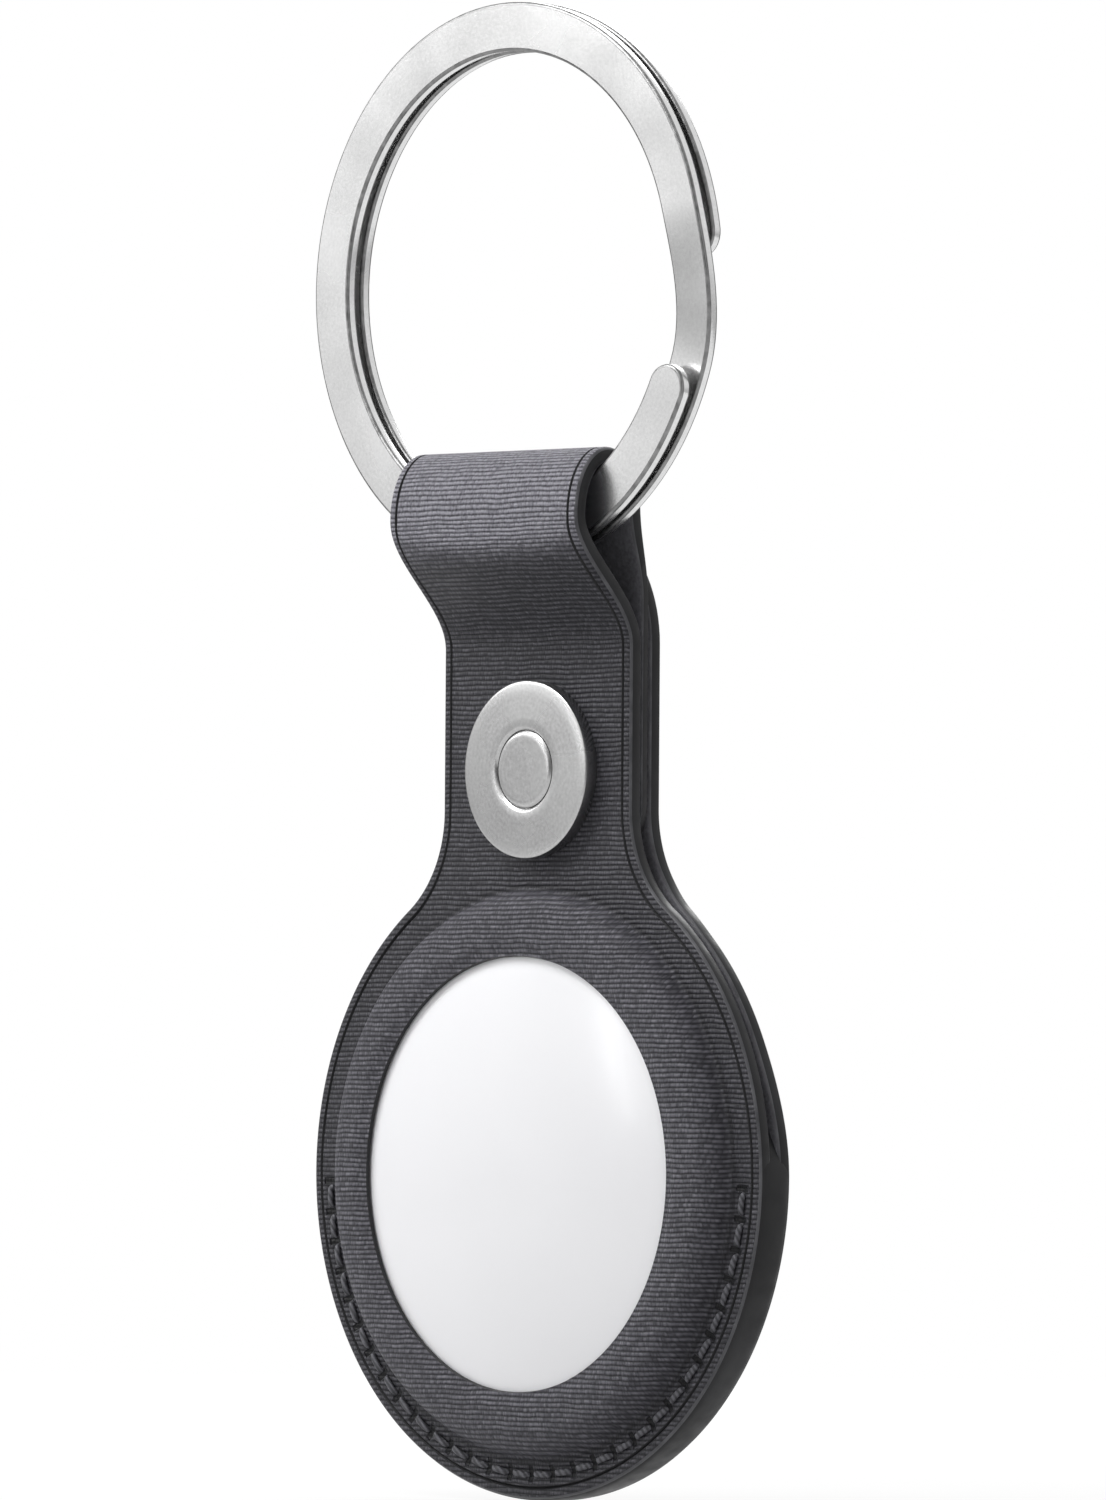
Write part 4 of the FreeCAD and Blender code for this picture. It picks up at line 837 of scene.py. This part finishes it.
def even_dome(finish, pole, centre):
    """The normal of a ball near the pole of a domed face, and the face's own normal elsewhere."""
    place = own_place(finish)
    from_pole = node(finish, "VectorMath", {0: place, 1: pole}, operation="DISTANCE")
    near = falls_off(finish, from_pole.outputs["Value"], 0.003, 0.005)
    from_centre = node(finish, "VectorMath", {0: place, 1: centre}, operation="SUBTRACT")
    outward = node(
        finish, "VectorTransform", {"Vector": from_centre.outputs[0]}, vector_type="NORMAL",
        convert_from="OBJECT", convert_to="WORLD",
    ).outputs[0]
    own = node(finish, "NewGeometry", {}).outputs["Normal"]
    sides = {"Factor": near, "A": own, "B": outward}
    return node(finish, "Mix", sides, data_type="VECTOR").outputs[1]


shell_white, shader = new_finish("shell_white", {"Specular IOR Level": 0.5})
place = own_place(shell_white)
flow = noise(shell_white, place, 60.0, 2.0)
polish = noise(shell_white, place, 1400.0, 3.0)
shell_shades = [(0.3, (0.90, 0.90, 0.92)), (0.7, (0.925, 0.925, 0.945))]
shell_normal = even_dome(shell_white, DOME_POLE, DOME_CENTRE)
feed(
    shell_white, shader,
    Base_Color=shades(shell_white, flow, shell_shades),
    Roughness=shades(shell_white, polish, [(0.3, grey(0.12)), (0.7, grey(0.18))]),
    Normal=raised(shell_white, flow, 0.00001, 0.3, shell_normal),
)
dress(shell_white, "tag_shell")

# Battery cover. Pressed stainless dish, polished bright, with three tabs that turn under the
# shell's lip. Its face is left bare.
COVER_POLE = (0.0, 0.00735, DISC_HEIGHT / 1000)
COVER_CENTRE = (0.0, -0.19005, DISC_HEIGHT / 1000)
cover_steel = turned_metal("cover_steel", 0.6, 0.7, 0.1, 0.16, DISC_HEIGHT / 1000, 700.0)
cover_normal = even_dome(cover_steel, COVER_POLE, COVER_CENTRE)
cover_bump = cover_steel.node_tree.nodes["Bump"]
cover_steel.node_tree.links.new(cover_normal, cover_bump.inputs["Normal"])
dress(cover_steel, "battery_cover")


# Inside of the tag. Moulded frame with the coin cell in it, brass contacts and a rubber seal
# behind, and the board with its chips and the speaker's yoke, magnet and coil in front.
def plain_finish(name, low, high, roughness, scale, metallic=0.0):
    """A moulded, plated or coated finish with a fine unevenness of tone and gloss."""
    finish, shader = new_finish(name, {"Metallic": metallic})
    place = own_place(finish)
    grain = noise(finish, place, scale, 3.0)
    cloud = noise(finish, place, scale / 12, 2.0)
    gloss = [(0.3, grey(roughness - 0.06)), (0.7, grey(roughness + 0.06))]
    feed(
        finish, shader,
        Base_Color=shades(finish, cloud, [(0.3, low), (0.7, high)]),
        Roughness=shades(finish, grain, gloss),
        Normal=raised(finish, grain, 0.00001, 0.4),
    )
    return finish


frame_plastic = plain_finish("frame_plastic", grey(0.62), grey(0.7), 0.45, 2500.0)
dress(frame_plastic, "tag_frame")
cell_steel = plain_finish("cell_steel", grey(0.5), grey(0.6), 0.25, 3000.0, 1.0)
dress(cell_steel, "coin_cell")
contact_brass = plain_finish(
    "contact_brass", (0.62, 0.45, 0.2), (0.75, 0.56, 0.27), 0.28, 3000.0, 1.0
)
dress(contact_brass, "battery_contacts")
seal_rubber = plain_finish("seal_rubber", grey(0.012), grey(0.025), 0.7, 2200.0)
dress(seal_rubber, "cover_seal")
board_green = plain_finish(
    "board_green", (0.012, 0.09, 0.035), (0.02, 0.14, 0.055), 0.35, 900.0
)
dress(board_green, "circuit_board")
chip_black = plain_finish("chip_black", grey(0.012), grey(0.03), 0.5, 4000.0)
dress(chip_black, "board_chips")
speaker_steel = plain_finish("speaker_steel", grey(0.34), grey(0.44), 0.32, 2600.0, 1.0)
dress(speaker_steel, "speaker_yoke", "speaker_magnet")
coil_copper = plain_finish("coil_copper", (0.55, 0.2, 0.08), (0.72, 0.3, 0.13), 0.3, 3600.0, 1.0)
dress(coil_copper, "voice_coil")

# Studio. A pale floor and a white surround. One soft lamp hangs close above the holder, weaker
# ones stand to its left, its right, behind it and in front, and a thin strip lights the tag's
# dome. Sizes are in metres.
FLOOR_RADIUS = 0.3
FLOOR_HEIGHT = -0.0769
FLOOR_GLOW = 1.1
floor_mesh = bmesh.new()
bmesh.ops.create_circle(floor_mesh, cap_ends=True, segments=64, radius=FLOOR_RADIUS)
bmesh.ops.translate(floor_mesh, verts=floor_mesh.verts, vec=(0, 0, FLOOR_HEIGHT))
floor_data = bpy.data.meshes.new("floor")
floor_mesh.to_mesh(floor_data)
floor_mesh.free()
floor = bpy.data.objects.new("floor", floor_data)
bpy.context.scene.collection.objects.link(floor)
floor_white, shader = new_finish(
    "floor_white", {"Base Color": (0.5, 0.5, 0.5, 1.0), "Roughness": 0.9}
)
seen = node(floor_white, "LightPath", {}).outputs
shown = calc(floor_white, "MAXIMUM", seen["Is Camera Ray"], seen["Is Glossy Ray"])
away = node(floor_white, "VectorMath", {0: own_place(floor_white)}, operation="LENGTH")
glow = node(floor_white, "Emission", {"Color": (1, 1, 1, 1), "Strength": FLOOR_GLOW}).outputs[0]
clear = ranged(floor_white, away.outputs["Value"], (0.09, 0.25), (0.8, 1.0), "LINEAR")
share = calc(floor_white, "MULTIPLY", shown, clear)
mixed = node(floor_white, "MixShader", {0: share, 1: shader.outputs[0], 2: glow}).outputs[0]
floor_output = floor_white.node_tree.nodes["Material Output"]
floor_white.node_tree.links.new(mixed, floor_output.inputs["Surface"])
floor_data.materials.append(floor_white)

CARD_AXIS = (0.726, -0.687, -0.024)
SKY_AXIS = (-0.35, -0.45, 0.82)
world = bpy.data.worlds.new("white_surround")
world.use_nodes = True
bpy.context.scene.world = world
surround = world.node_tree.nodes["Background"]
seen = node(world, "LightPath", {}).outputs
shiny = calc(world, "MAXIMUM", seen["Is Glossy Ray"], seen["Is Transmission Ray"])
towards = node(world, "TexCoord", {}).outputs["Generated"]
across = node(world, "VectorMath", {0: towards, 1: CARD_AXIS}, operation="DOT_PRODUCT")
off_axis = calc(world, "ABSOLUTE", across.outputs["Value"])
card = ranged(world, off_axis, (0.5, 0.93), (0.9, 0.06))
rise = node(world, "SeparateXYZ", {"Vector": towards}).outputs["Z"]
dusk = ranged(world, rise, (-0.27, 0.18), (0.48, 1.0))
paper = calc(world, "MULTIPLY", card, dusk)
above = node(world, "VectorMath", {0: towards, 1: SKY_AXIS}, operation="DOT_PRODUCT")
sky = ranged(world, above.outputs["Value"], (-1.0, 1.0), (0.08, 0.36), "LINEAR")
lit = ranged(world, shiny, (0.0, 1.0), (sky, paper), "LINEAR")
level = ranged(world, seen["Is Camera Ray"], (0.0, 1.0), (lit, 1.0), "LINEAR")
world.node_tree.links.new(level, surround.inputs["Strength"])
surround.inputs["Color"].default_value = (1, 1, 1, 1)

LAMP_AIM = Vector((0, 0, -0.035))


def soft_lamp(name, azimuth, elevation, distance, size, power, width=None, roll=0.0):
    """A soft lamp, round or drawn out to a strip, that looks at the holder. Azimuth 0 is in front
    and runs to the right."""
    turn, lift = math.radians(azimuth), math.radians(elevation)
    level = math.cos(lift)
    away = Vector((math.sin(turn) * level, -math.cos(turn) * level, math.sin(lift)))
    lamp = bpy.data.lights.new(name, "AREA")
    lamp.shape = "ELLIPSE"
    lamp.size = size
    lamp.size_y = width or size
    lamp.energy = power
    stand = bpy.data.objects.new(name, lamp)
    stand.location = LAMP_AIM + away * distance
    stand.rotation_mode = "QUATERNION"
    rolled = Matrix.Rotation(math.radians(roll), 3, "Z").to_quaternion()
    stand.rotation_quaternion = (-away).to_track_quat("-Z", "Y") @ rolled
    bpy.context.scene.collection.objects.link(stand)


soft_lamp("key_lamp", -28.0, 57.0, 0.2, 0.11, 0.25)
soft_lamp("left_lamp", -57.0, 28.0, 0.6, 0.3, 1.0)
soft_lamp("side_lamp", 62.0, 12.0, 0.6, 0.35, 0.42)
soft_lamp("back_lamp", -150.0, 35.0, 0.6, 0.35, 1.8)
soft_lamp("fill_lamp", 0.0, 18.0, 0.6, 0.5, 0.42)
soft_lamp("strip_lamp", -32.5, 11.0, 0.6, 0.22, 0.1, 0.02, -57.0)
bpy.context.scene.view_settings.view_transform = "Standard"

# Camera. A long lens at the photograph's place: level with the holder, to its right and far off.
# Sizes are in millimetres, the clip distances in metres.
YAW, ELEVATION, ROLL = math.radians(46.56), math.radians(-1.38), math.radians(0.40)
CAMERA_AIM = Vector((1.894, 1.69, -29.42))
CAMERA_DISTANCE = 780.2
FOCAL_LENGTH = 296.7
SENSOR_WIDTH = 36.0
level = math.cos(ELEVATION)
look = Vector((-math.sin(YAW) * level, math.cos(YAW) * level, -math.sin(ELEVATION)))
level_right = Vector((math.cos(YAW), math.sin(YAW), 0))
level_up = level_right.cross(look)
right = math.cos(ROLL) * level_right + math.sin(ROLL) * level_up
upward = -math.sin(ROLL) * level_right + math.cos(ROLL) * level_up
eye = CAMERA_AIM - CAMERA_DISTANCE * look
lens = bpy.data.cameras.new("camera")
lens.sensor_fit = "AUTO"
lens.sensor_width = SENSOR_WIDTH
lens.lens = FOCAL_LENGTH
lens.clip_start = 0.01
lens.clip_end = 20.0
camera = bpy.data.objects.new("camera", lens)
turned = Matrix((right, upward, -look)).transposed().to_4x4()
camera.matrix_world = Matrix.Translation(eye * 0.001) @ turned
bpy.context.scene.collection.objects.link(camera)
bpy.context.scene.camera = camera
